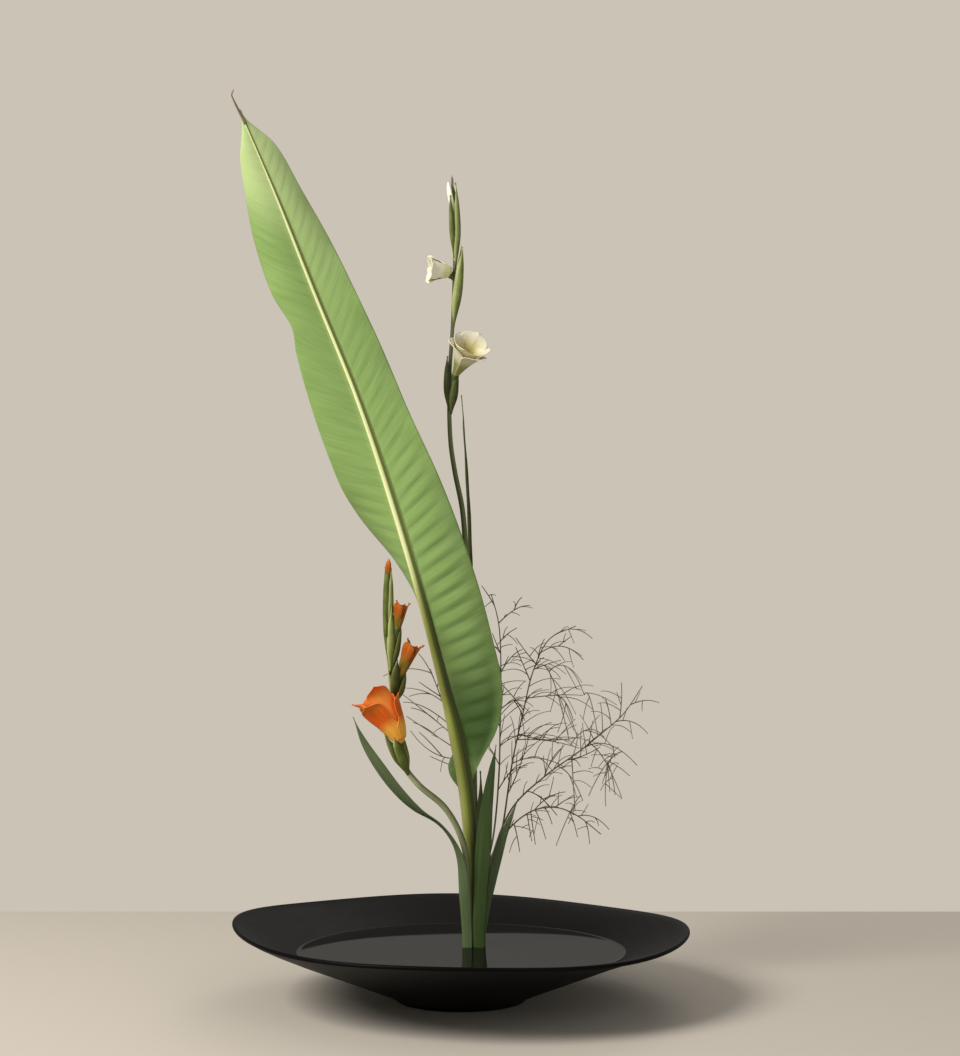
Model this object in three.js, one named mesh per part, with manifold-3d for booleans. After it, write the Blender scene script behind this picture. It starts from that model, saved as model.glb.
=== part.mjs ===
// An ikebana arrangement: a shallow black bowl of water with a needle-point holder, one tall
// paddle-shaped leaf, two gladiolus stems, three sword leaves and airy asparagus sprays.
// Millimetres, +Z up. The origin is the middle of the bowl's foot on the table, the front is -Y.
import * as THREE from "three";
import { mergeVertices } from "three/addons/utils/BufferGeometryUtils.js";
import Module from "manifold-3d";

const wasm = await Module();
wasm.setup();

// ---------------------------------------------------------------- driving dimensions

const GAP = 0.3; // clearance between pieces that touch
const FULL_TURN = 2 * Math.PI;

const RIM_RADIUS = 200;
const RIM_HEIGHT = 63.6;
const RIM_TILT = 4; // the hand-made rim rises towards -X by this much
const RIM_SADDLE = 2; // and waves by these amounts, twice and four times round
const RIM_RIPPLE = 2;
const RIM_WAVE_FROM = 150; // radius where the wave of the rim starts
const WALL = 4.4; // height of the wall's section, measured straight up
const FOOT_RADIUS = 57;
const FOOT_RING = 8;
const FOOT_RECESS = 2.5;
const FLOOR_RADIUS = 64;
const FLOOR_HEIGHT = 10;
const BOWL_SIDES = 36;

const WATER_RADIUS = 146;
const WATER_HEIGHT = 43;

const HOLDER = { x: 10, y: 26, radius: 35, base: 8 };
const PIN = { radius: 0.8, height: 13, spacing: 7, sunk: 1 };

const BASE_TOP = FLOOR_HEIGHT + GAP + HOLDER.base; // top of the holder's lead base
const STEM_FOOT = BASE_TOP + GAP; // every stem is pushed down to here

// ---------------------------------------------------------------- small tools

const point = (x, y, z) => new THREE.Vector3(x, y, z);
const degrees = (angle) => THREE.MathUtils.degToRad(angle);

// A smooth curve of values through [place, value] keys, in rising order of place.
function smoothKeys(keys) {
  const places = keys.map(([place]) => place);
  const values = keys.map(([, value]) => value);
  const curve = new THREE.CubicInterpolant(places, values, 1);
  return (place) => curve.evaluate(place)[0];
}

const curveThrough = (places) => new THREE.CatmullRomCurve3(places.map((at) => point(...at)));

// The first stretch of every stem: straight up from the holder's base and through the water.
const standing = (x, y) => [STEM_FOOT, WATER_HEIGHT + 1, WATER_HEIGHT + 9].map((z) => [x, y, z]);

// A closed geometry as a manifold solid, which can be joined and cut.
function solidOf(geometry) {
  const bare = geometry.toNonIndexed();
  bare.deleteAttribute("normal");
  bare.deleteAttribute("uv");
  const merged = mergeVertices(bare, 1e-4);
  const vertProperties = merged.attributes.position.array;
  const triVerts = new Uint32Array(merged.index.array);
  return new wasm.Manifold(new wasm.Mesh({ numProp: 3, vertProperties, triVerts }));
}

function geometryOf(solid) {
  const mesh = solid.getMesh();
  const geometry = new THREE.BufferGeometry();
  geometry.setAttribute("position", new THREE.BufferAttribute(mesh.vertProperties, 3));
  geometry.setIndex(new THREE.BufferAttribute(mesh.triVerts, 1));
  return geometry;
}

function join(geometries) {
  return geometries.map(solidOf).reduce((whole, piece) => whole.add(piece));
}

// What is left of a cut piece that hangs together: loose scraps are dropped.
function largest(solid) {
  const bodies = solid.decompose();
  return bodies.reduce((best, body) => (body.volume() > best.volume() ? body : best));
}

// A lathe turned about Z. The profile is [radius, height] pairs.
function turned(profile, sides) {
  const points = profile.map(([radius, height]) => new THREE.Vector2(radius, height));
  return new THREE.LatheGeometry(points, sides).rotateX(Math.PI / 2);
}

// A closed limb. place(share, turn, radial) gives its points: share runs from 0 at its foot to 1,
// turn goes round it, and radial is 1 on its side and 0 on its axis. A pointed limb's radial
// falls evenly to 0 at its tip.
function sweep({ place, sides, steps, pointed = false }) {
  const geometry = new THREE.CylinderGeometry(pointed ? 0 : 1, 1, 1, sides, steps);
  const spot = geometry.attributes.position;
  for (let i = 0; i < spot.count; i++) {
    const turn = Math.atan2(spot.getZ(i), spot.getX(i));
    const at = place(spot.getY(i) + 0.5, turn, Math.hypot(spot.getX(i), spot.getZ(i)));
    spot.setXYZ(i, at.x, at.y, at.z);
  }
  return geometry;
}

// A round limb along a smooth curve. radiusAt gives its radius at a share of its length.
function stem({ points, radiusAt, sides = 3, steps = 3, pointed = false }) {
  const curve = new THREE.CatmullRomCurve3(points);
  const { normals, binormals } = curve.computeFrenetFrames(steps, false);
  return sweep({
    sides,
    steps,
    pointed,
    place(share, turn, radial) {
      const ring = Math.round(share * steps);
      const radius = radiusAt(share) * radial;
      return curve
        .getPointAt(share)
        .addScaledVector(normals[ring], radius * Math.cos(turn))
        .addScaledVector(binormals[ring], -radius * Math.sin(turn));
    },
  });
}

// A thin closed sheet, such as a leaf or petal. pointAt(across, along) gives its middle surface,
// with across from -1 to 1 and along from 0 to 1, and thicknessAt its thickness there.
function sheet({ pointAt, thicknessAt, columns, rows }) {
  const face = new THREE.PlaneGeometry(2, 1, columns, rows);
  const middle = face.attributes.position;
  const thickness = [];
  for (let i = 0; i < middle.count; i++) {
    const across = middle.getX(i);
    const along = middle.getY(i) + 0.5;
    const at = pointAt(across, along);
    thickness.push(thicknessAt(across, along));
    middle.setXYZ(i, at.x, at.y, at.z);
  }
  face.computeVertexNormals();
  const count = middle.count;
  const normal = face.attributes.normal;
  const places = [];
  for (const side of [0.5, -0.5]) {
    for (let i = 0; i < count; i++) {
      const depth = side * thickness[i];
      places.push(middle.getX(i) + normal.getX(i) * depth);
      places.push(middle.getY(i) + normal.getY(i) * depth);
      places.push(middle.getZ(i) + normal.getZ(i) * depth);
    }
  }
  const front = Array.from(face.index.array);
  const back = front.map((vertex) => vertex + count).reverse();
  const wide = columns + 1;
  const border = [];
  for (let i = 0; i < columns; i++) border.push(rows * wide + i);
  for (let i = rows; i > 0; i--) border.push(i * wide + columns);
  for (let i = columns; i > 0; i--) border.push(i);
  for (let i = 0; i < rows; i++) border.push(i * wide);
  const edge = border.flatMap((from, i) => {
    const to = border[(i + 1) % border.length];
    return [to, from, from + count, to, from + count, to + count];
  });
  const closed = new THREE.BufferGeometry();
  closed.setAttribute("position", new THREE.Float32BufferAttribute(places, 3));
  closed.setIndex([...front, ...back, ...edge]);
  return closed;
}

// ---------------------------------------------------------------- bowl, water and holder

// How far the rim is lifted at a place on the bowl: it is turned up at its -X end.
function rimLift(x, y) {
  const turn = Math.atan2(y, x);
  const wave =
    -RIM_TILT * Math.cos(turn) +
    RIM_SADDLE * Math.cos(2 * turn) +
    RIM_RIPPLE * Math.cos(4 * turn);
  const share = Math.max(0, Math.hypot(x, y) - RIM_WAVE_FROM) / (RIM_RADIUS - RIM_WAVE_FROM);
  return wave * share ** 2;
}

// The inside of the wall at a radius: one straight slope from the floor to the rim.
function insideHeight(radius) {
  const slope = (WATER_HEIGHT - FLOOR_HEIGHT) / (WATER_RADIUS - FLOOR_RADIUS);
  return FLOOR_HEIGHT + Math.max(0, radius - FLOOR_RADIUS) * slope;
}

function bowlGeometry() {
  const ringInside = FOOT_RADIUS - FOOT_RING;
  const lipRadius = 1.2;
  const rimInside = RIM_RADIUS - 2 * lipRadius;
  const outside = (radius) => insideHeight(radius) - WALL;
  const bowl = turned(
    [
      [0, FOOT_RECESS],
      [ringInside - 1, FOOT_RECESS],
      [ringInside, 0],
      [FOOT_RADIUS, 0],
      [FOOT_RADIUS + 3, FOOT_RECESS + 1],
      [100, outside(100)],
      [RIM_WAVE_FROM, outside(RIM_WAVE_FROM)],
      [176, outside(176)],
      [RIM_RADIUS - lipRadius, RIM_HEIGHT - WALL + 1],
      [RIM_RADIUS, RIM_HEIGHT - lipRadius],
      [RIM_RADIUS - lipRadius, RIM_HEIGHT],
      [rimInside, RIM_HEIGHT - 0.5],
      [176, insideHeight(176)],
      [WATER_RADIUS + 8, insideHeight(WATER_RADIUS + 8) + 0.4],
      [WATER_RADIUS, WATER_HEIGHT],
      [FLOOR_RADIUS, FLOOR_HEIGHT],
      [0, FLOOR_HEIGHT],
    ],
    BOWL_SIDES,
  );
  const place = bowl.attributes.position;
  for (let i = 0; i < place.count; i++) {
    place.setZ(i, place.getZ(i) + rimLift(place.getX(i), place.getY(i)));
  }
  return bowl;
}

function pinPlaces() {
  const places = [];
  const row = PIN.spacing * Math.sqrt(0.75);
  const reach = HOLDER.radius - 2.5;
  const count = Math.ceil(reach / row);
  for (let j = -count; j <= count; j++) {
    const shift = j % 2 === 0 ? 0 : PIN.spacing / 2;
    for (let i = -count; i <= count; i++) {
      const x = i * PIN.spacing + shift;
      const y = j * row;
      if (Math.hypot(x, y) < reach) places.push([HOLDER.x + x, HOLDER.y + y]);
    }
  }
  return places;
}

// One brass pin, or the clearance round it, as a slim spike that stands in the lead base.
function pin([x, y], clearance) {
  const height = PIN.height + PIN.sunk + clearance;
  const grown = 2 * clearance;
  const spike = new THREE.CylinderGeometry(grown, PIN.radius + grown, height, 3, 1);
  spike.rotateX(Math.PI / 2);
  return spike.translate(x, y, BASE_TOP - PIN.sunk + height / 2);
}

function holderSolid() {
  const base = new THREE.CylinderGeometry(HOLDER.radius - 0.8, HOLDER.radius, HOLDER.base, 32);
  base.rotateX(Math.PI / 2);
  base.translate(HOLDER.x, HOLDER.y, FLOOR_HEIGHT + GAP + HOLDER.base / 2);
  return join([base, ...pinPlaces().map((place) => pin(place, 0))]);
}

// The water fills the bowl to its level. It leaves room for the holder and a plain hole for
// each stem: holes are [x, y, radius along X, radius along Y].
function waterSolid(holes) {
  const top = WATER_HEIGHT - GAP;
  const water = turned(
    [
      [0, FLOOR_HEIGHT + GAP],
      [FLOOR_RADIUS - GAP, FLOOR_HEIGHT + GAP],
      [WATER_RADIUS - 5 * GAP, top],
      [0, top],
    ],
    BOWL_SIDES,
  );
  const pocketTop = BASE_TOP + PIN.height + GAP;
  const pocketHeight = pocketTop - FLOOR_HEIGHT + 1;
  const pocket = new THREE.CylinderGeometry(
    HOLDER.radius + GAP,
    HOLDER.radius + GAP,
    pocketHeight,
    32,
  );
  pocket.rotateX(Math.PI / 2);
  pocket.translate(HOLDER.x, HOLDER.y, pocketTop - pocketHeight / 2);
  const cuts = holes.map(([x, y, wide, deep]) => {
    const hole = new THREE.CylinderGeometry(1, 1, 2 * (top - pocketTop) + 10, 10);
    hole.rotateX(Math.PI / 2);
    return hole.scale(wide + 1.5 * GAP, deep + 1.5 * GAP, 1).translate(x, y, top);
  });
  return solidOf(water).subtract(join([pocket, ...cuts]));
}

// ---------------------------------------------------------------- the tall leaf

// The rib's line, from the foot of the leaf stalk to the tip, which leans left and forward.
const LEAF_LINE = [
  ...standing(10, 26),
  [9, 26, 121],
  [2, 24, 194],
  [-22, 18, 299],
  [-54, 7, 414],
  [-91, -5, 526],
  [-131, -22, 625],
  [-162, -44, 703],
  [-192, -70, 773],
];
const BLADE_FROM = 168; // distance along the rib where the blade starts
const BLADE_THICKNESS = 0.8;
const VEIN_ROWS = 36;
const BLADE_COLUMNS = 8;
const PLEAT = 0.5; // depth of the pleats between the side veins

// Every list below is [distance along the rib, value].
const RIB_RADIUS = smoothKeys([
  [0, 6.4],
  [120, 6.6],
  [200, 7],
  [260, 5.2],
  [335, 4.3],
  [440, 3.9],
  [530, 2.9],
  [660, 2.3],
  [790, 1],
]);
const RIGHT_WIDTH = smoothKeys([
  [150, 1],
  [168, 6],
  [185, 18],
  [207, 38],
  [236, 52],
  [290, 56],
  [387, 51],
  [435, 47],
  [504, 39],
  [578, 36],
  [659, 31],
  [715, 24],
  [761, 18],
  [797, 1],
]);
const LEFT_WIDTH = smoothKeys([
  [150, 1],
  [160, 7],
  [176, 19],
  [195, 25],
  [225, 32],
  [290, 42],
  [387, 47],
  [467, 45],
  [532, 43],
  [585, 37],
  [607, 32],
  [640, 38],
  [691, 37],
  [722, 31],
  [758, 20],
  [797, 1],
]);
// How far each half of the blade turns back, in degrees: at the rib, and more towards its margin.
const RIGHT_TURN = smoothKeys([
  [150, 0],
  [236, -12],
  [797, -10],
]);
const RIGHT_ROLL = smoothKeys([
  [150, 30],
  [236, 50],
  [300, 55],
  [400, 35],
  [600, 25],
  [797, 60],
]);
const LEFT_TURN = smoothKeys([
  [150, 0],
  [184, 0],
  [202, 55],
  [228, 86],
  [255, 82],
  [285, 64],
  [310, 56],
  [340, 58],
  [363, 52],
  [401, 35],
  [432, 18],
  [467, 3],
  [797, -10],
]);
const LEFT_ROLL = smoothKeys([
  [150, 90],
  [195, 95],
  [240, 60],
  [363, 55],
  [467, 30],
  [580, 30],
  [690, 60],
  [797, 70],
]);
// The side veins climb from the rib to the margin by this much, and hang down at the base.
const VEIN_CLIMB = smoothKeys([
  [168, -14],
  [230, 0],
  [400, 22],
  [600, 36],
  [720, 26],
  [790, 4],
]);

const leafLine = curveThrough(LEAF_LINE);
const LEAF_LENGTH = leafLine.getLength();

// The rib's place and directions at a distance along it: side points right, front to the viewer.
function leafFrame(distance) {
  const share = THREE.MathUtils.clamp(distance / LEAF_LENGTH, 0, 1);
  const up = leafLine.getTangentAt(share);
  const side = up.clone().cross(point(0, -1, 0)).normalize();
  const front = side.clone().cross(up);
  return { at: leafLine.getPointAt(share), side, front };
}

function leafPoint(across, along) {
  const root = THREE.MathUtils.lerp(BLADE_FROM, LEAF_LENGTH, along);
  const out = Math.abs(across);
  const distance = Math.min(root + VEIN_CLIMB(root) * out, LEAF_LENGTH);
  const right = across > 0;
  const width = (right ? RIGHT_WIDTH : LEFT_WIDTH)(distance);
  const start = degrees((right ? RIGHT_TURN : LEFT_TURN)(distance));
  const roll = degrees((right ? RIGHT_ROLL : LEFT_ROLL)(distance));
  // An arc from the rib outwards, whose direction turns from start to start + roll.
  const reach = (width * (Math.sin(start + roll * out) - Math.sin(start))) / roll;
  const back = (width * (Math.cos(start) - Math.cos(start + roll * out))) / roll;
  const row = Math.round(along * VEIN_ROWS);
  const pleat = (row % 2 === 0 ? PLEAT : -PLEAT) * Math.sin(Math.PI * Math.min(1, out * 1.25));
  const wave = 1.8 * Math.sin(distance / 23) * out ** 3;
  const { at, side, front } = leafFrame(distance);
  return at.addScaledVector(side, right ? reach : -reach).addScaledVector(front, pleat + wave - back);
}

// The leaf stalk and rib: a stout round stalk with a shallow channel down its front.
function ribGeometry() {
  const sides = 8;
  return sweep({
    sides,
    steps: 20,
    place(share, turn, radial) {
      const distance = share * LEAF_LENGTH * 0.99;
      const { at, side, front } = leafFrame(distance);
      const radius = RIB_RADIUS(distance) * radial;
      const channel = Math.sin(turn) > 0.9 ? 0.72 : 0.9;
      return at
        .addScaledVector(side, radius * Math.cos(turn))
        .addScaledVector(front, radius * channel * Math.sin(turn));
    },
  });
}

function leafSolid() {
  const blade = sheet({
    pointAt: leafPoint,
    thicknessAt: () => BLADE_THICKNESS,
    columns: BLADE_COLUMNS,
    rows: VEIN_ROWS,
  });
  const tip = leafLine.getPointAt(0.985);
  const driedTip = stem({
    points: [tip, point(-196.5, -74, 780), point(-198.6, -76, 785), point(-196.5, -78, 789)],
    radiusAt: (share) => 1.6 - 1.1 * share,
    sides: 5,
    steps: 6,
  });
  return largest(join([blade, ribGeometry(), driedTip]));
}

// ---------------------------------------------------------------- gladiolus stems and flowers

// Turns a geometry made along +Z, bulging towards +X, to stand at an origin along an axis.
function placed(geometry, origin, axis, outward) {
  const up = axis.clone().normalize();
  const out = outward.clone().addScaledVector(up, -outward.dot(up)).normalize();
  const side = up.clone().cross(out);
  geometry.applyMatrix4(new THREE.Matrix4().makeBasis(out, side, up).setPosition(origin));
  return geometry;
}

// A bract: a pointed scoop that hugs the stem at its foot, clasps what is inside it and is hollow
// towards its own -X.
const BRACT_OUTLINE = smoothKeys([
  [0, 0.3],
  [0.35, 1],
  [0.7, 0.75],
  [1, 0.06],
]);
const BRACT_CLASP = smoothKeys([
  [0, 0.35],
  [0.4, 1],
  [0.75, 0.8],
  [1, 0.4],
]);
function bractGeometry({ length, halfWidth, clasp, bulge = 2, thickness = 0.7 }) {
  return sheet({
    columns: 2,
    rows: 4,
    thicknessAt: () => thickness,
    pointAt(across, along) {
      const radius = clasp * BRACT_CLASP(along);
      const turn = across * Math.min((halfWidth * BRACT_OUTLINE(along)) / radius, 0.8 * Math.PI);
      const swell = bulge * Math.sin(Math.PI * along);
      return point(radius * Math.cos(turn) + swell, radius * Math.sin(turn), length * along);
    },
  });
}

// A bract that grows from a foot to a tip and bulges outward at an angle about Z.
function grownBract({ foot, tip, outward, ...shape }) {
  const axis = point(...tip).sub(point(...foot));
  const turn = degrees(outward);
  const bract = bractGeometry({ length: axis.length(), ...shape });
  return placed(bract, point(...foot), axis, point(Math.cos(turn), Math.sin(turn), 0));
}

// A closed bud: a spindle, swollen near its foot.
function budGeometry({ from, to, radius, sides = 5, bow = point(0, 0, 0) }) {
  const middle = from.clone().lerp(to, 0.45).add(bow);
  return stem({
    points: [from, middle, to],
    sides,
    steps: 5,
    radiusAt: (share) => radius * (0.25 + 0.75 * Math.sin(Math.PI * (0.15 + 0.8 * share))),
  });
}

const PETAL_FROM = 0.22; // share of the flower's length where its petals part from the tube
const PETAL_OUTLINE = smoothKeys([
  [0, 0.28],
  [0.35, 0.6],
  [0.65, 1],
  [0.88, 0.85],
  [1, 0.25],
]);

// A gladiolus flower stands along its own +Z: a tube that widens into two whorls of three petals.
class Flower {
  constructor({ name, base, axis, roll, length, tube, mouth, petal, flare, bow = 0, sizes, columns, rows }) {
    this.name = name;
    this.base = point(...base);
    this.axis = point(...axis).normalize();
    this.roll = degrees(roll);
    this.length = length;
    this.tube = tube; // radius of the tube at its foot
    this.mouth = mouth; // radius at the petals' tips
    this.petal = petal; // half width of a petal
    this.flare = flare; // above 1 the tube stays slim for longer
    this.bow = bow; // how far the flower bends to its right half way up
    this.sizes = sizes; // the length of each of the six petals, as a share of the flower's
    this.columns = columns;
    this.rows = rows;
  }

  radiusAt(along) {
    return this.tube + (this.mouth - this.tube) * along ** this.flare;
  }

  heightAt(along) {
    return this.length * (along - 0.12 * along ** 4);
  }

  petalGeometry(index) {
    const outer = index % 2;
    const turn = (index * Math.PI) / 3 + this.roll;
    return sheet({
      columns: this.columns,
      rows: this.rows,
      thicknessAt: () => 0.7,
      pointAt: (across, part) => {
        const along = PETAL_FROM + (1 - PETAL_FROM) * part;
        const radius = this.radiusAt(along) + 1.4 * outer;
        const halfWidth = Math.min(this.petal * PETAL_OUTLINE(along), 0.98 * radius);
        const curl = radius * (outer ? 1.02 + 0.5 * along : 1);
        const angle = (across * halfWidth) / curl;
        const ruffle = 1.2 * outer * across ** 2 * along ** 2;
        const out = radius - curl + curl * Math.cos(angle) + ruffle;
        const side = curl * Math.sin(angle);
        return point(
          out * Math.cos(turn) - side * Math.sin(turn),
          out * Math.sin(turn) + side * Math.cos(turn),
          this.heightAt(along) * this.sizes[index],
        );
      },
    });
  }

  // The tube's own outline, grown by a margin, from its foot up to a share of the flower's length.
  tubeGeometry({ share, foot, grow, margin }) {
    const rings = [0, 0.33, 0.67, 1].map((part) => part * share);
    const profile = rings.map((along) => [
      this.radiusAt(along) * grow + margin,
      this.heightAt(along),
    ]);
    profile[0][1] = foot;
    return turned([[0, foot], ...profile, [0, this.heightAt(share)]], 8);
  }

  // Bows what has been shaped upright and sets it on the flower's base.
  place(geometry) {
    const position = geometry.getAttribute("position");
    for (let index = 0; index < position.count; index += 1) {
      const height = THREE.MathUtils.clamp(position.getZ(index) / this.length, 0, 1);
      position.setY(index, position.getY(index) + 4 * this.bow * height * (1 - height));
    }
    return placed(geometry, this.base, this.axis, point(0, -1, 0.01));
  }

  stamenGeometry(index) {
    const turn = (index * FULL_TURN) / 3 + this.roll;
    const lean = point(Math.cos(turn), Math.sin(turn), 0);
    const foot = point(0, 0, this.length * 0.15).addScaledVector(lean, 0.8);
    const tip = point(0, 0, this.length * 0.72).addScaledVector(lean, this.mouth * 0.16);
    const radiusAt = (share) => 0.5 + 0.7 * share ** 3;
    return stem({ points: [foot, tip], radiusAt, sides: 4, steps: 1 });
  }

  solid() {
    const petals = [0, 1, 2, 3, 4, 5].map((index) => this.petalGeometry(index));
    const stamens = this.columns > 2 ? [0, 1, 2].map((index) => this.stamenGeometry(index)) : [];
    const tube = this.tubeGeometry({ share: PETAL_FROM + 0.1, foot: 0, grow: 1.1, margin: 0.5 });
    const pieces = [tube, ...petals, ...stamens];
    return largest(join(pieces.map((geometry) => this.place(geometry))));
  }

  // What must be kept free of green bracts so that the flower sits in them with clearance.
  clearance() {
    return solidOf(this.place(this.tubeGeometry({ share: 0.85, foot: -GAP, grow: 1.1, margin: 2.4 })));
  }
}

const WHITE_LINE = [
  ...standing(15, 38),
  [12, 39, 120],
  [10, 42, 240],
  [7, 46, 350],
  [3, 48, 404],
  [0, 48, 436],
  [-7, 50, 471],
  [-11, 51, 500],
  [-12, 53, 556],
  [-9, 55, 610],
  [-7, 57, 684],
];
const ORANGE_LINE = [
  ...standing(8, 17),
  [6, 17, 90],
  [2, 14, 132],
  [-14, 5, 165],
  [-38, -3, 187],
  [-50, -3, 203],
  [-54.5, 3, 228],
  [-58, 6, 248],
  [-62, 3, 268],
  [-65, -9, 312],
  [-66, -15, 345],
];

const WHITE_OPEN = new Flower({
  name: "white_bloom_open",
  base: [-7.6, 47.8, 558],
  axis: [0.36, -0.55, 0.76],
  roll: 0,
  length: 45,
  tube: 2.2,
  mouth: 18,
  petal: 13,
  flare: 1.4,
  sizes: [0.98, 0.97, 1.08, 1.08, 0.95, 0.92],
  columns: 3,
  rows: 4,
});
const WHITE_HALF = new Flower({
  name: "white_bloom_half_open",
  base: [-10.4, 56, 659],
  axis: [-0.97, -0.22, 0.05],
  roll: 45,
  length: 25,
  tube: 3.4,
  mouth: 10.6,
  petal: 9,
  flare: 0.75,
  sizes: [1, 1.03, 0.97, 1.02, 1, 0.98],
  columns: 2,
  rows: 3,
});
const ORANGE_OPEN = new Flower({
  name: "orange_bloom_open",
  base: [-51.9, -20, 224.3],
  axis: [-0.56, 0.03, 0.83],
  roll: 25,
  length: 54,
  tube: 2,
  mouth: 17,
  petal: 13.5,
  flare: 0.6,
  bow: 3,
  sizes: [1.15, 0.92, 0.95, 1.06, 1.12, 0.89],
  columns: 3,
  rows: 4,
});
const ORANGE_MIDDLE = new Flower({
  name: "orange_bloom_middle",
  base: [-54.2, -13, 283],
  axis: [0.4, -0.16, 0.9],
  roll: 30,
  length: 37,
  tube: 2.6,
  mouth: 7.8,
  petal: 7,
  flare: 1,
  sizes: [1.03, 1, 1, 1, 1, 0.97],
  columns: 2,
  rows: 3,
});
const ORANGE_UPPER = new Flower({
  name: "orange_bloom_upper",
  base: [-57, -15, 324],
  axis: [0.2, -0.12, 0.97],
  roll: 30,
  length: 28,
  tube: 1.8,
  mouth: 5.6,
  petal: 5,
  flare: 0.6,
  sizes: [1, 1, 1, 1, 1, 0.98],
  columns: 2,
  rows: 3,
});

// A spathe: the short neck that carries a flower on its stem, and the bracts that clasp its tube.
function spathe(flower, foot, bracts) {
  const neck = stem({
    points: [point(...foot), flower.base.clone().addScaledVector(flower.axis, 3)],
    radiusAt: (share) => 1.6 + 2.4 * share,
    sides: 6,
    steps: 2,
  });
  return [neck, ...bracts.map((bract) => grownBract({ foot, ...bract }))];
}

// A stem with what grows on it, less the room for its flowers.
function spikeSolid(geometries, flowers, pins) {
  const green = join(geometries);
  const rooms = flowers.map((flower) => flower.clearance());
  return largest([...rooms, ...pins].reduce((rest, room) => rest.subtract(room), green));
}

function whiteSpikeSolid(pins) {
  const line = curveThrough(WHITE_LINE);
  const mainStem = stem({
    points: line.points,
    radiusAt: smoothKeys([
      [0, 3.2],
      [0.5, 2.7],
      [0.85, 1.8],
      [1, 1.5],
    ]),
    sides: 6,
    steps: 14,
  });
  const sheath = grownBract({
    foot: [13, 39.5, 62],
    tip: [15.5, 42, 196],
    outward: -37,
    halfWidth: 10,
    clasp: 5.2,
    bulge: 1.5,
    thickness: 0.8,
  });
  const thinLeaf = swordLeaf({
    line: [
      [8, 44, 318],
      [8.5, 48, 360],
      [6.5, 50, 430],
      [3, 51, 490],
      [-0.5, 51, 542],
    ],
    halfWidth: smoothKeys([
      [0, 2.2],
      [0.6, 1.7],
      [1, 0.3],
    ]),
    facing: () => 35,
    rows: 8,
    columns: 2,
  });
  const terminalBud = budGeometry({
    from: point(-7, 57, 678),
    to: point(-10, 60, 752),
    radius: 2.9,
    bow: point(2.6, 0, 0),
  });
  const sideBud = budGeometry({
    from: point(-8, 56, 614),
    to: point(-1, 56, 684),
    radius: 2.4,
    bow: point(2, 1, 0),
  });
  const wraps = [
    grownBract({
      foot: [-7.5, 57, 660],
      tip: [-8, 59, 744],
      outward: -17,
      halfWidth: 7,
      clasp: 4,
      bulge: 2,
    }),
    grownBract({
      foot: [-6.5, 57, 672],
      tip: [-10.5, 58.5, 734],
      outward: 202,
      halfWidth: 5,
      clasp: 3.2,
      bulge: -0.4,
    }),
    grownBract({
      foot: [-9, 55.5, 606],
      tip: [-1, 56, 682],
      outward: -27,
      halfWidth: 6.5,
      clasp: 3.6,
      bulge: 2.2,
    }),
  ];
  const openFoot = [-11, 51.5, 524];
  const halfFoot = [-8, 56, 651];
  const spathes = [
    ...spathe(WHITE_OPEN, openFoot, [
      { tip: [-13.1, 50, 578], outward: 190, halfWidth: 7, clasp: 4, bulge: 2.6 },
      { tip: [-5.4, 46, 565], outward: -45, halfWidth: 6.5, clasp: 4.2, bulge: 0.6 },
    ]),
    ...spathe(WHITE_HALF, halfFoot, [
      { tip: [-17, 60, 661], outward: 100, halfWidth: 5, clasp: 4, bulge: 2 },
    ]),
  ];
  const bud = whiteBud();
  const green = [mainStem, sheath, thinLeaf, terminalBud, sideBud, ...wraps, ...spathes];
  return spikeSolid(green, [WHITE_OPEN, WHITE_HALF], [...pins, bud.room]);
}

// The tip of a petal that shows above the bracts of a bud, and the room that it takes in them.
function budTip({ from, to, radius }) {
  const shape = (margin) =>
    stem({
      points: [from.clone().add(point(0, 0, -margin)), from.clone().lerp(to, 0.5), to],
      radiusAt: smoothKeys([
        [0, radius * 0.7 + margin],
        [0.6, radius + margin],
        [1, 0.5 + margin],
      ]),
      sides: 8,
      steps: 5,
    });
  return { solid: solidOf(shape(0)), room: solidOf(shape(GAP)) };
}
const whiteBud = () =>
  budTip({ from: point(-8.8, 56, 714), to: point(-13.6, 57, 744), radius: 2.3 });
const orangeBud = () =>
  budTip({ from: point(-65.5, -15, 366), to: point(-64, -16, 386), radius: 2.7 });

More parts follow.
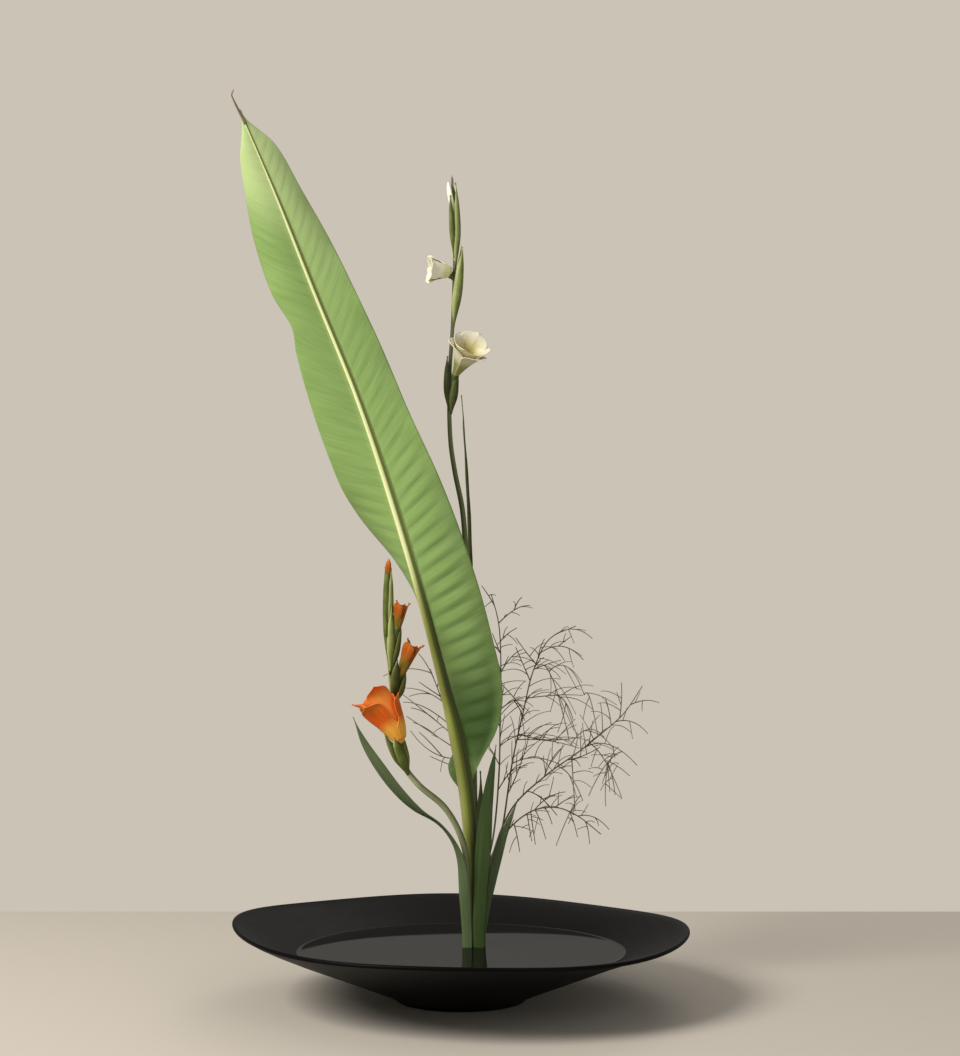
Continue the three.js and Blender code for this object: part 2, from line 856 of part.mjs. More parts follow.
function orangeSpikeSolid(pins) {
  const line = curveThrough(ORANGE_LINE);
  const mainStem = stem({
    points: line.points,
    radiusAt: smoothKeys([
      [0, 2.8],
      [0.5, 2.7],
      [0.8, 2],
      [1, 1.4],
    ]),
    sides: 6,
    steps: 16,
  });
  const terminalBud = budGeometry({
    from: point(-66, -15, 318),
    to: point(-65, -16, 378),
    radius: 3.6,
  });
  const wraps = [
    grownBract({
      foot: [-63, -4, 284],
      tip: [-67.3, -15, 371],
      outward: 200,
      halfWidth: 6,
      clasp: 3.6,
      bulge: 1.6,
    }),
    grownBract({
      foot: [-65, -15, 312],
      tip: [-63, -16, 374],
      outward: -35,
      halfWidth: 5,
      clasp: 3.2,
      bulge: 1.2,
    }),
  ];
  const spathes = [
    ...spathe(ORANGE_OPEN, [-47, -4.5, 196.5], [
      { tip: [-67.6, -23, 233], outward: 235, halfWidth: 6.5, clasp: 3.6, bulge: 0.5 },
      { tip: [-50.5, -22, 231], outward: -50, halfWidth: 5.5, clasp: 3.6, bulge: 0.3 },
    ]),
    ...spathe(ORANGE_MIDDLE, [-60, 2.5, 258], [
      { tip: [-56, -20.5, 296], outward: 265, halfWidth: 6.5, clasp: 4.2, bulge: 0.8 },
      { tip: [-50.5, -13, 285], outward: 20, halfWidth: 6, clasp: 4.2, bulge: 1 },
    ]),
    ...spathe(ORANGE_UPPER, [-63, -5.5, 286], [
      { tip: [-62.5, -18, 344], outward: 300, halfWidth: 6, clasp: 3.8, bulge: 2.5 },
      { tip: [-54.5, -14, 328], outward: 20, halfWidth: 5, clasp: 3.6, bulge: 1 },
    ]),
  ];
  const green = [mainStem, terminalBud, ...wraps, ...spathes];
  const flowers = [ORANGE_OPEN, ORANGE_MIDDLE, ORANGE_UPPER];
  return spikeSolid(green, flowers, [...pins, orangeBud().room]);
}

// ---------------------------------------------------------------- sword leaves

// A sword-shaped leaf along a line. facing turns its width about the line, in degrees from the
// viewer's right, and the leaf is a little thicker along its middle.
function swordLeaf({ line, halfWidth, facing, rows = 12, columns = 4 }) {
  const curve = curveThrough(line);
  return sheet({
    columns,
    rows,
    thicknessAt: (across) => 1.4 - 0.7 * Math.abs(across),
    pointAt(across, along) {
      const turn = degrees(facing(along));
      const up = curve.getTangentAt(along);
      const side = point(Math.cos(turn), Math.sin(turn), 0);
      side.addScaledVector(up, -side.dot(up)).normalize();
      const back = up.clone().cross(side);
      const width = halfWidth(along);
      return curve
        .getPointAt(along)
        .addScaledVector(side, across * width)
        .addScaledVector(back, 0.12 * width * (across ** 2 - 0.5));
    },
  });
}

const SWORD_LEAVES = [
  {
    name: "sword_leaf_left",
    line: [
      ...standing(5, 10.9),
      [3, 10.5, 84],
      [-1, 9.5, 118],
      [-8, 8, 136],
      [-20, 4, 151],
      [-39, 0, 164],
      [-57, -4, 182],
      [-73, -9, 204],
      [-86, -12, 225],
      [-95, -18, 247],
    ],
    halfWidth: smoothKeys([
      [0, 4.2],
      [0.25, 4.8],
      [0.38, 5.2],
      [0.5, 4.6],
      [0.75, 5.6],
      [0.9, 3.4],
      [1, 0.3],
    ]),
    facing: smoothKeys([
      [0, 0],
      [0.25, -6],
      [0.42, -62],
      [0.52, -60],
      [0.7, -25],
      [1, -20],
    ]),
  },
  {
    name: "sword_leaf_centre",
    line: [
      ...standing(15.3, 10.9),
      [16.5, 11, 84],
      [19, 12, 128],
      [22, 13, 163],
      [26, 14, 192],
      [31, 16, 221],
    ],
    halfWidth: smoothKeys([
      [0, 4.6],
      [0.3, 6],
      [0.55, 7.2],
      [0.75, 5.2],
      [0.9, 2.6],
      [1, 0.3],
    ]),
    facing: () => -8,
  },
  {
    name: "sword_leaf_right",
    line: [
      ...standing(18, 16.9),
      [23, 18, 82],
      [30, 20, 112],
      [37, 22, 137],
      [43, 23, 153],
      [51, 25, 172],
    ],
    halfWidth: smoothKeys([
      [0, 3.2],
      [0.4, 4],
      [0.65, 4.3],
      [0.85, 2.6],
      [1, 0.3],
    ]),
    facing: () => 15,
  },
];

// ---------------------------------------------------------------- asparagus sprays

// Draws even numbers from 0 to 1 that are the same on every run.
function drawer(seed) {
  let state = seed;
  return () => {
    state = (1664525 * state + 1013904223) % 4294967296;
    return state / 4294967296;
  };
}

const TWIG_RADIUS = 0.5;
const NEEDLE = { radius: 0.45, length: 13, every: 18 };
const GOLDEN_ANGLE = degrees(137.5);
const SPRAY_CLEARANCE = 0.5; // between a twig and any other piece
const TRIES = 14;

// Each spray is a thin stem that stands between the pins, with wiry side twigs. The twigs leave
// it from a share of its length on, reach this far, and sag by a share of their reach.
const SPRAYS = [
  {
    name: "asparagus_spray_left",
    line: [
      ...standing(6.5, 47.2),
      [6, 54, 120],
      [2, 62, 180],
      [-6, 67, 215],
      [-16, 71, 250],
      [-30, 74, 288],
    ],
    twigs: 9,
    from: 0.6,
    reach: 62,
    heading: [-0.8, 0.05, 0.35],
    sag: 0.05,
    seed: 11,
  },
  {
    name: "asparagus_spray_middle",
    line: [
      ...standing(13.5, 47.2),
      [21, 56, 100],
      [29, 62, 137],
      [34, 68, 191],
      [35, 72, 230],
      [36, 76, 280],
      [34, 82, 330],
      [27, 86, 358],
    ],
    twigs: 14,
    from: 0.46,
    reach: 66,
    heading: [0.7, 0.1, 0.3],
    sag: 0.15,
    seed: 23,
  },
  {
    name: "asparagus_spray_right",
    line: [
      ...standing(20.5, 47.2),
      [28, 54, 100],
      [38, 60, 148],
      [46, 68, 200],
      [56, 74, 245],
      [67, 80, 288],
      [82, 86, 316],
      [107, 92, 328],
    ],
    twigs: 18,
    from: 0.46,
    reach: 78,
    heading: [0.75, 0.05, 0.05],
    sag: 0.3,
    seed: 37,
  },
  {
    name: "asparagus_spray_outer",
    line: [
      ...standing(17, 53.6),
      [26, 58, 110],
      [46, 64, 160],
      [78, 70, 190],
      [108, 74, 211],
      [132, 76, 230],
      [150, 76, 246],
      [168, 76, 272],
    ],
    twigs: 16,
    from: 0.5,
    reach: 66,
    heading: [0.45, 0.05, -0.5],
    sag: 0.35,
    seed: 51,
  },
  {
    name: "asparagus_spray_low",
    line: [
      ...standing(10, 53.4),
      [15, 62, 85],
      [32, 70, 125],
      [50, 72, 147],
      [68, 72, 158],
      [88, 70, 160],
      [106, 68, 153],
      [128, 66, 136],
    ],
    twigs: 9,
    from: 0.6,
    reach: 42,
    heading: [0.3, -0.1, -0.5],
    sag: 0.3,
    seed: 67,
  },
];

// A side twig from a place on the spray's stem, with short needles that fan out towards its tip.
function twigGeometries(curve, share, spray, turn, draw) {
  const foot = curve.getPointAt(share);
  const along = curve.getTangentAt(share);
  const across = point(0, 0, 1).cross(along).normalize();
  const round = along.clone().cross(across);
  const out = across.multiplyScalar(Math.cos(turn)).addScaledVector(round, Math.sin(turn));
  const heading = out
    .addScaledVector(along, 0.5)
    .addScaledVector(point(...spray.heading), 0.9)
    .normalize();
  const reach = spray.reach * (0.6 + 0.5 * draw()) * (1.15 - 0.6 * share);
  const bend = point(draw() - 0.5, draw() - 0.5, draw() - 0.5).multiplyScalar(0.3 * reach);
  const middle = foot.clone().addScaledVector(heading, reach * 0.5).add(bend);
  const end = foot.clone().addScaledVector(heading, reach);
  end.z -= spray.sag * reach;
  const twig = new THREE.CatmullRomCurve3([foot, middle, end]);
  const geometries = [
    stem({
      points: twig.points,
      radiusAt: (part) => TWIG_RADIUS * (1 - 0.35 * part),
      sides: 3,
      steps: 2,
    }),
  ];
  const count = Math.floor(reach / NEEDLE.every);
  for (let i = 0; i < count; i++) {
    const part = 0.45 + (0.5 * (i + 0.5)) / count;
    const root = twig.getPointAt(part);
    const lean = point(draw() - 0.5, draw() - 0.5, draw() - 0.5).normalize();
    const needle = twig.getTangentAt(part).addScaledVector(lean, 0.8).normalize();
    const length = NEEDLE.length * (0.7 + 0.6 * draw());
    geometries.push(
      stem({
        points: [root, root.clone().addScaledVector(needle, length)],
        radiusAt: () => NEEDLE.radius,
        sides: 3,
        steps: 1,
        pointed: true,
      }),
    );
  }
  return geometries;
}

function stalkSolid({ line }) {
  const radiusAt = (share) => 1.1 - 0.6 * share;
  return solidOf(stem({ points: curveThrough(line).points, radiusAt, sides: 4, steps: 14 }));
}

// Builds a spray twig by twig. A twig that comes too near another piece is turned about the stem
// until it is clear.
function spraySolid(spray, stalk, others) {
  const curve = curveThrough(spray.line);
  let whole = stalk;
  for (let i = 0; i < spray.twigs; i++) {
    const share = spray.from + ((1 - spray.from) * (i + 0.5)) / spray.twigs;
    for (let attempt = 0; attempt < TRIES; attempt++) {
      const draw = drawer(spray.seed * 1000 + i * 20 + attempt);
      const turn = i * GOLDEN_ANGLE + (attempt * FULL_TURN) / TRIES;
      const twig = join(twigGeometries(curve, share, spray, turn, draw));
      if (others.every((other) => twig.minGap(other, 1) > SPRAY_CLEARANCE)) {
        whole = whole.add(twig);
        break;
      }
    }
  }
  return largest(whole);
}

// ---------------------------------------------------------------- the arrangement

// Room in the water for each stem and leaf: [x, y, reach along X, reach along Y].
const WATER_HOLES = [
  [10, 26, 6.6, 6.6],
  [15, 38, 3.5, 3.5],
  [8, 17, 2.8, 2.8],
  [5, 10.9, 5.4, 2.4],
  [15.3, 10.9, 6.4, 2.6],
  [18, 16.9, 4.4, 2.4],
  ...SPRAYS.map(({ line: [[x, y]] }) => [x, y, 1.1, 1.1]),
];

const arrangement = new THREE.Group();
const planted = [];

function add(name, solid, colour, roughness, metalness = 0) {
  const material = new THREE.MeshStandardMaterial({ color: colour, roughness, metalness });
  const mesh = new THREE.Mesh(geometryOf(solid), material);
  mesh.name = name;
  arrangement.add(mesh);
}

function plant(name, solid, colour) {
  planted.push(solid);
  add(name, solid, colour, 0.5);
}

const pinRoom = join(pinPlaces().map((place) => pin(place, GAP)));
const white = whiteBud();
const orange = orangeBud();

add("bowl", solidOf(bowlGeometry()), 0x0b0b0d, 0.25);
add("water", waterSolid(WATER_HOLES), 0x2c3234, 0.05);
add("needle_holder", holderSolid(), 0x8a7a4a, 0.35, 1);
plant("tall_leaf", largest(leafSolid().subtract(pinRoom)), 0x6f9a4c);
plant("white_gladiolus_stem", whiteSpikeSolid([pinRoom]), 0x4a6222);
plant(WHITE_OPEN.name, WHITE_OPEN.solid(), 0xe9e4c0);
plant(WHITE_HALF.name, WHITE_HALF.solid(), 0xf2eecb);
plant("white_bud_tip", white.solid, 0xf3f0cf);
plant("orange_gladiolus_stem", orangeSpikeSolid([pinRoom]), 0x5f7f35);
plant(ORANGE_OPEN.name, ORANGE_OPEN.solid(), 0xf28a2e);
plant(ORANGE_MIDDLE.name, ORANGE_MIDDLE.solid(), 0xc2560f);
plant(ORANGE_UPPER.name, ORANGE_UPPER.solid(), 0xc2560f);
plant("orange_bud_tip", orange.solid, 0xc8691f);
for (const leaf of SWORD_LEAVES) {
  plant(leaf.name, largest(solidOf(swordLeaf(leaf)).subtract(pinRoom)), 0x33592b);
}
const stalks = SPRAYS.map((spray) => stalkSolid(spray));
SPRAYS.forEach((spray, i) => {
  const otherStalks = stalks.filter((stalk, j) => j !== i);
  plant(spray.name, spraySolid(spray, stalks[i], [...planted, ...otherStalks]), 0x4b5130);
});

export default arrangement;
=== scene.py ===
import math
import random
from dataclasses import dataclass

import bmesh
import bpy
from mathutils import Matrix, Vector


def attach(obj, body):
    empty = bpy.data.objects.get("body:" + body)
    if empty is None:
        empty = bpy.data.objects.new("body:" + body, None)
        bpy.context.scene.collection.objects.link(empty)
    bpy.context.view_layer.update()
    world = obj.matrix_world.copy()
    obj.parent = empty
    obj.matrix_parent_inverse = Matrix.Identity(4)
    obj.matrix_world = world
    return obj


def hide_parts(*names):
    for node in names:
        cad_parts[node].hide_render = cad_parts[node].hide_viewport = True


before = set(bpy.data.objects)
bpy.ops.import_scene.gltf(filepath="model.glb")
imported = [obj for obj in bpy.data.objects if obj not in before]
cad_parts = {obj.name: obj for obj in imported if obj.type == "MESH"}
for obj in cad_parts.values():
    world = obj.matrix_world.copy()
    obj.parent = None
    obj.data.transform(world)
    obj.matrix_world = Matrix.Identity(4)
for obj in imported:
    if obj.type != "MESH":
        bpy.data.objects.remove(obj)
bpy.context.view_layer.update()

MM = 0.001
TOUCHING = 0.0005  # corners closer than this, in millimetres, are one

# The bowl, the water and the needle holder
RIM_RADIUS = 200
RIM_HEIGHT = 63.6
RIM_TILT = 4
RIM_SADDLE = 2
RIM_RIPPLE = 2
RIM_WAVE_FROM = 150
WALL = 4.4
FOOT_RADIUS = 57
FOOT_RING = 8
FOOT_RECESS = 2.5
FLOOR_RADIUS = 64
FLOOR_HEIGHT = 10
WATER_RADIUS = 144.5
WATER_HEIGHT = 42.7
HOLDER_PLACE = (10, 26)
HOLDER_RADIUS = 35
HOLDER_TOP = 18.3
PIN_SPACING = 7
STEM_FOOT = 18.6


# ------------------------------------------------------------------ lines and curves


def keyed(keys):
    """A smooth curve of values through (place, value) keys, in rising order of place."""
    places = [place for place, _ in keys]
    values = [value for _, value in keys]
    last = len(keys) - 1

    def value_at(place):
        if place <= places[0]:
            return values[0]
        if place >= places[last]:
            return values[last]
        i = next(i for i in range(last) if place < places[i + 1])
        start, end = places[i], places[i + 1]
        before = i - 1 if i > 0 else 1
        after = i + 2 if i + 2 <= last else last - 1
        pull_back = 0.5 * (end - start) / abs(start - places[before])
        pull_on = 0.5 * (end - start) / abs(places[after] - end)
        p = (place - start) / (end - start)
        back = -pull_back * p**3 + 2 * pull_back * p**2 - pull_back * p
        here = (1 + pull_back) * p**3 + (-1.5 - 2 * pull_back) * p**2 + (pull_back - 0.5) * p + 1
        there = (-1 - pull_on) * p**3 + (1.5 + pull_on) * p**2 + 0.5 * p
        on = pull_on * p**3 - pull_on * p**2
        return (
            back * values[before] + here * values[i] + there * values[i + 1] + on * values[after]
        )

    return value_at


class Line:
    """A smooth line through places, read by the share of its length that has been walked."""

    def __init__(self, places, fine=24):
        knots = [Vector(place) for place in places]
        knots = [2 * knots[0] - knots[1], *knots, 2 * knots[-1] - knots[-2]]
        self.spots = []
        for a, b, c, d in zip(knots, knots[1:], knots[2:], knots[3:]):
            ab, bc, cd = ((q - p).length ** 0.5 for p, q in ((a, b), (b, c), (c, d)))
            leave = ((b - a) / ab - (c - a) / (ab + bc) + (c - b) / bc) * bc
            reach = ((c - b) / bc - (d - b) / (bc + cd) + (d - c) / cd) * bc
            for i in range(fine):
                t = i / fine
                self.spots.append(
                    (2 * t**3 - 3 * t**2 + 1) * b
                    + (t**3 - 2 * t**2 + t) * leave
                    + (3 * t**2 - 2 * t**3) * c
                    + (t**3 - t**2) * reach
                )
        self.spots.append(knots[-2])
        self.walked = [0]
        for p, q in zip(self.spots, self.spots[1:]):
            self.walked.append(self.walked[-1] + (q - p).length)
        self.length = self.walked[-1]

    def at(self, share):
        goal = min(max(share, 0), 1) * self.length
        low, high = 0, len(self.walked) - 2
        while low < high:
            middle = (low + high + 1) // 2
            if self.walked[middle] <= goal:
                low = middle
            else:
                high = middle - 1
        stretch = self.walked[low + 1] - self.walked[low]
        return self.spots[low].lerp(self.spots[low + 1], (goal - self.walked[low]) / stretch)

    def heading(self, share):
        step = 0.004
        return (self.at(share + step) - self.at(share - step)).normalized()


def standing(x, y):
    """The first stretch of every stem: straight up from the holder and through the water."""
    return [(x, y, z) for z in (STEM_FOOT, WATER_HEIGHT + 1.3, WATER_HEIGHT + 9.3)]


def smooth_step(low, high, value):
    share = min(max((value - low) / (high - low), 0), 1)
    return share * share * (3 - 2 * share)


def frame_along(up):
    """Two directions square to up, the first to the viewer's right where up is upright."""
    level = Vector((1, 0, 0)) if abs(up.y) > 0.93 else Vector((0, 1, 0))
    side = level.cross(up).normalized()
    return side, up.cross(side)


# ------------------------------------------------------------------ meshes


def new_mesh():
    mesh = bmesh.new()
    mesh.loops.layers.uv.new("UVMap")
    return mesh


def gather(whole, part):
    """Adds a finished part to a piece."""
    held = bpy.data.meshes.new("held")
    part.to_mesh(held)
    part.free()
    whole.from_mesh(held)
    bpy.data.meshes.remove(held)


def patch(columns, rows, place):
    """A sheet of quads laid out by place(across, along), both from 0 to 1."""
    part = new_mesh()
    made = bmesh.ops.create_grid(
        part, x_segments=columns, y_segments=rows, size=0.5, calc_uvs=True
    )
    for corner in made["verts"]:
        corner.co = place(corner.co.x + 0.5, corner.co.y + 0.5)
    return part


def closed(part):
    """Merges the corners that touch and turns the faces of the shell outwards."""
    bmesh.ops.remove_doubles(part, verts=part.verts, dist=TOUCHING)
    bmesh.ops.recalc_face_normals(part, faces=part.faces)
    return part


def paint(part, finish):
    for face in part.faces:
        face.material_index = finish


def limb(line, radius_at, sides, steps, finish=0, shape=None):
    """A closed round limb along a line. radius_at reads the share of the line that is walked,
    and shape(share, turn) may press its outline in or out."""
    rows = steps + 2
    frames = []
    side = None
    for i in range(steps + 1):
        up = line.heading(i / steps)
        if side is None:
            side, _ = frame_along(up)
        side = (side - side.dot(up) * up).normalized()
        frames.append((line.at(i / steps), side.copy(), up.cross(side)))

    def place(across, along):
        row = round(along * rows)
        ring = min(max(row - 1, 0), steps)
        at, right, back = frames[ring]
        if row in (0, rows):
            return at
        turn = 2 * math.pi * across
        radius = radius_at(ring / steps)
        if shape:
            radius *= shape(ring / steps, turn)
        return at + radius * (math.cos(turn) * right + math.sin(turn) * back)

    part = closed(patch(sides, rows, place))
    paint(part, finish)
    return part


def blade(place, columns, rows, thickness, finishes):
    """A thin closed sheet: its outer face and rim take the first finish, its inner the second."""
    part = patch(columns, rows, place)
    bmesh.ops.remove_doubles(part, verts=part.verts, dist=TOUCHING)
    part.normal_update()
    made = bmesh.ops.solidify(part, geom=part.faces[:], thickness=thickness)
    inner = {piece for piece in made["geom"] if isinstance(piece, bmesh.types.BMFace)}
    for face in part.faces:
        face.material_index = finishes[1] if face in inner else finishes[0]
    return part


def stood(part, origin, axis, outward):
    """Turns a part made along +Z, bulging towards +X, to stand at an origin along an axis."""
    up = Vector(axis).normalized()
    out = Vector(outward)
    out = (out - out.dot(up) * up).normalized()
    turn = Matrix((out, up.cross(out), up)).transposed().to_4x4()
    bmesh.ops.transform(part, matrix=Matrix.Translation(origin) @ turn, verts=part.verts)
    return part


def turned(profile, sides):
    """A closed shape spun about Z from a profile of (radius, height) pairs."""
    part = new_mesh()
    spots = [part.verts.new((radius, 0, height)) for radius, height in profile]
    edges = [part.edges.new(pair) for pair in zip(spots, spots[1:])]
    bmesh.ops.spin(
        part,
        geom=spots + edges,
        cent=(0, 0, 0),
        axis=(0, 0, 1),
        angle=2 * math.pi,
        steps=sides,
        use_merge=True,
    )
    return closed(part)


def finished(name, whole, node, materials, sharp=None):
    """Makes a piece of a mesh in millimetres and puts it in a node's stead."""
    bmesh.ops.scale(whole, vec=(MM, MM, MM), verts=whole.verts)
    mesh = bpy.data.meshes.new(name)
    whole.to_mesh(mesh)
    whole.free()
    mesh.shade_smooth()
    if sharp:
        mesh.set_sharp_from_angle(angle=math.radians(sharp))
    for material in materials:
        mesh.materials.append(material)
    piece = bpy.data.objects.new(name, mesh)
    bpy.context.scene.collection.objects.link(piece)
    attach(piece, "root")
    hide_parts(node)
    return piece


# ------------------------------------------------------------------ finishes


def colour(red, green, blue):
    """A screen colour, 0 to 255, as the renderer's own values."""
    parts = [part / 255 for part in (red, green, blue)]
    return tuple(
        part / 12.92 if part <= 0.04045 else ((part + 0.055) / 1.055) ** 2.4 for part in parts
    ) + (1,)


class Value:
    """A number that a finish works out, which can be reckoned with."""

    def __init__(self, finish, socket):
        self.finish = finish
        self.socket = socket

    def maths(self, operation, *others):
        return self.finish.node("Math", {"operation": operation}, dict(enumerate((self, *others))))

    def __add__(self, other):
        return self.maths("ADD", other)

    def __sub__(self, other):
        return self.maths("SUBTRACT", other)

    def __rsub__(self, other):
        return self.finish.node("Math", {"operation": "SUBTRACT"}, {0: other, 1: self})

    def __mul__(self, other):
        return self.maths("MULTIPLY", other)

    __radd__ = __add__
    __rmul__ = __mul__

    def within(self, low, high):
        """How far the value is between two marks, from 0 to 1, eased at both."""
        return self.finish.node(
            "MapRange",
            {"interpolation_type": "SMOOTHSTEP"},
            {"Value": self, "From Min": low, "From Max": high},
        )


class Finish:
    """A material whose nodes are made here. Constants go straight to the shader's sockets."""

    def __init__(self, name, constants):
        self.material = bpy.data.materials.new(name)
        self.material.use_nodes = True
        self.nodes = self.material.node_tree.nodes
        self.links = self.material.node_tree.links
        self.shader = self.nodes["Principled BSDF"]
        for socket, value in constants.items():
            self.shader.inputs[socket].default_value = value

    def feed(self, socket, value):
        if isinstance(value, Value):
            self.links.new(value.socket, socket)
        else:
            socket.default_value = value

    def node(self, kind, settings, inputs, output=0):
        node = self.nodes.new("ShaderNode" + kind)
        for name, value in settings.items():
            if name == "stops":
                ramp = node.color_ramp.elements
                while len(ramp) < len(value):
                    ramp.new(0.5)
                for stop, (place, shade) in zip(ramp, value):
                    stop.position = place
                    stop.color = shade
            else:
                setattr(node, name, value)
        for name, value in inputs.items():
            self.feed(node.inputs[name], value)
        return Value(self, node.outputs[output])

    def place(self):
        return self.node("TexCoord", {}, {}, "Object")

    def across_along(self):
        """The piece's own measures: across or round it, and along it, both from 0 to 1."""
        uv = self.node("UVMap", {"uv_map": "UVMap"}, {})
        return (
            self.node("SeparateXYZ", {}, {0: uv}, "X"),
            self.node("SeparateXYZ", {}, {0: uv}, "Y"),
        )

    def noise(self, scale, detail, squeeze=None):
        """Soft blotches, this many to the metre, thinned along each axis by a squeeze."""
        where = self.place()
        if squeeze:
            where = self.node("Mapping", {}, {"Vector": where, "Scale": squeeze})
        return self.node("TexNoise", {}, {"Vector": where, "Scale": scale, "Detail": detail})

    def streaks(self, across, along, detail):
        """Fine streaks, closer together the more that across and along are scaled up."""
        where = self.node("CombineXYZ", {}, {"X": across, "Y": along})
        return self.node("TexNoise", {}, {"Vector": where, "Scale": 1, "Detail": detail})

    def ramp(self, value, stops):
        return self.node("ValToRGB", {"stops": stops}, {"Fac": value})

    def mix(self, share, first, second):
        node = self.nodes.new("ShaderNodeMix")
        node.data_type = "RGBA"
        self.feed(node.inputs["Factor"], share)
        self.feed(node.inputs[6], first)
        self.feed(node.inputs[7], second)
        return Value(self, node.outputs[2])

    def bump(self, height, distance, strength):
        return self.node(
            "Bump", {}, {"Height": height, "Distance": distance, "Strength": strength}
        )

    def wear(self, **maps):
        """Sets the base_color, the roughness or the normal, and gives back the material."""
        for name, value in maps.items():
            self.feed(self.shader.inputs[name.replace("_", " ").title()], value)
        return self.material


def glaze_finish():
    glaze = Finish("black_glaze", {"IOR": 1.35, "Specular IOR Level": 0.1})
    pools = glaze.noise(9, 4)
    brushed = glaze.noise(60, 2, squeeze=(1, 1, 5))
    grain = pools * 0.6 + brushed * 0.4
    shade = glaze.mix(grain, colour(2, 2, 3), colour(12, 11, 10))
    return glaze.wear(
        base_color=shade, roughness=0.34 + grain * 0.2, normal=glaze.bump(grain, 0.0006, 0.3)
    )


def water_finish():
    water = Finish("still_water", {"IOR": 1.33, "Specular IOR Level": 0.1, "Alpha": 0.92})
    drift = water.noise(14, 2)
    shade = water.mix(drift, colour(12, 12, 10), colour(22, 22, 19))
    return water.wear(
        base_color=shade, roughness=0.02 + drift * 0.03, normal=water.bump(drift, 0.0006, 0.1)
    )


def lead_finish():
    lead = Finish("lead", {"Metallic": 1})
    grain = lead.noise(180, 4)
    shade = lead.mix(grain, colour(58, 60, 64), colour(112, 114, 118))
    return lead.wear(
        base_color=shade, roughness=0.45 + grain * 0.25, normal=lead.bump(grain, 0.0004, 0.4)
    )


def brass_finish():
    brass = Finish("brass_pins", {"Metallic": 1})
    grain = brass.noise(300, 2)
    shade = brass.mix(grain, colour(150, 122, 60), colour(205, 175, 100))
    return brass.wear(base_color=shade, roughness=0.25 + grain * 0.2)


def leaf_finish(name, face, vein, darker_tone_and_pleat_shade, painted_shade, roughness):
    """Green with fine veins that run out from the midrib, and painted shade along the pleats
    between them, which fades towards the tip. Painted light makes the tip pale, and painted shade
    darkens the right half near the stalk."""
    leaf = Finish(name, {"IOR": 1.45, "Specular IOR Level": 0.4})
    across, along = leaf.across_along()
    drift = leaf.noise(11, 3)
    fine = leaf.streaks(across * 3, along * 420, 3)
    coarse = leaf.streaks(across * 2, along * 90, 2)
    ridge = (along * (VEINS * 2 * math.pi)).maths("SINE") * 0.5 + 0.5
    near_rib = 1 - (across - 0.5).maths("ABSOLUTE").within(0.004, 0.09)
    tone = fine.within(0.3, 0.7) * 0.4 + coarse.within(0.3, 0.7) * 0.25 + drift * 0.35
    fade = 1 - along.within(0.15, 0.55) * 0.9
    shade = leaf.mix(tone, darker_tone_and_pleat_shade, face)
    # Painted shade along the pleats between the veins, fading towards the tip.
    shade = leaf.mix(ridge.within(0.7, 1) * fade * 0.45, shade, darker_tone_and_pleat_shade)
    # Painted shade: the right half is darkened near the stalk.
    near_stalk = along.within(0.02, 0.06) * (1 - along.within(0.08, 0.2))
    right_half = across.within(0.5, 0.54) * (1 - across.within(0.86, 1))
    shade = leaf.mix(near_stalk * right_half * 0.85, shade, painted_shade)
    shade = leaf.mix(near_rib * 0.35, shade, vein)
    # Painted light: the blade is paled with the vein colour towards its tip, starting lower on the
    # right half than on the left.
    right = across.within(0.45, 0.55)
    pale = along.within(0.6, 1) * right + along.within(0.78, 0.9) * (1 - right)
    shade = leaf.mix(pale * 0.8, shade, vein)
    height = fine * 0.5 + ridge * fade * 0.8
    return leaf.wear(
        base_color=shade,
        roughness=roughness + drift * 0.14,
        normal=leaf.bump(height, 0.0005, 0.6),
    )


def rib_finish():
    """The stalk and midrib: painted light down its left side and painted shade in the groove and
    down its right side, which is partly its own darker green, with a second bright line of painted
    light beside the groove further up."""
    rib = Finish("leaf_rib", {"IOR": 1.45, "Specular IOR Level": 0.45})
    across, along = rib.across_along()
    fibres = rib.streaks(across * 60, along * 6, 3)
    back = colour(84, 104, 42)
    # The lower stalk: painted light on one side, painted shade in the groove and on the other.
    lower = rib.ramp(
        across,
        [
            (0.0, colour(92, 106, 42)),
            (0.3, back),
            (0.5, colour(150, 146, 80)),
            (0.56, colour(210, 212, 132)),
            (0.68, colour(168, 178, 84)),
            (0.76, colour(100, 108, 28)),
            (0.84, colour(46, 54, 8)),
            (1.0, colour(92, 106, 42)),
        ],
    )
    # The upper rib: a painted highlight on one side, painted shade in the groove and a second
    # painted bright line beyond it.
    upper = rib.ramp(
        across,
        [
            (0.0, colour(176, 196, 118)),
            (0.3, back),
            (0.5, colour(206, 216, 138)),
            (0.6, colour(255, 255, 200)),
            (0.71, colour(236, 244, 176)),
            (0.79, colour(84, 98, 32)),
            (0.86, colour(104, 118, 44)),
            (0.94, colour(200, 216, 142)),
        ],
    )
    shade = rib.mix(along.within(0.4, 0.5), lower, upper)
    shade = rib.mix(fibres.within(0.45, 0.75) * 0.25, shade, colour(120, 134, 58))
    return rib.wear(
        base_color=shade,
        roughness=0.34 + fibres * 0.2,
        normal=rib.bump(fibres, 0.0005, 0.5),
    )


def stem_finish(name, light, dark, lit_side=0.5):
    """A fresh stem, streaked along its length, with painted light down one side. lit_side is that
    side's turn round the stem: 0 is its right and 0.5 its left."""
    stem = Finish(name, {"IOR": 1.45, "Specular IOR Level": 0.4})
    across, along = stem.across_along()
    fibres = stem.streaks(across * 70, along * 5, 3)
    drift = stem.noise(38, 3)
    # Painted light: the stem is paler down its lit side.
    painted_light_side = ((across - lit_side) * (2 * math.pi)).maths("COSINE") * 0.5 + 0.5
    tone = fibres.within(0.25, 0.75) * 0.25 + drift.within(0.3, 0.7) * 0.1 + painted_light_side * 0.65
    shade = stem.mix(tone, dark, light)
    return stem.wear(
        base_color=shade,
        roughness=0.38 + fibres * 0.2,
        normal=stem.bump(fibres, 0.0003, 0.5),
    )


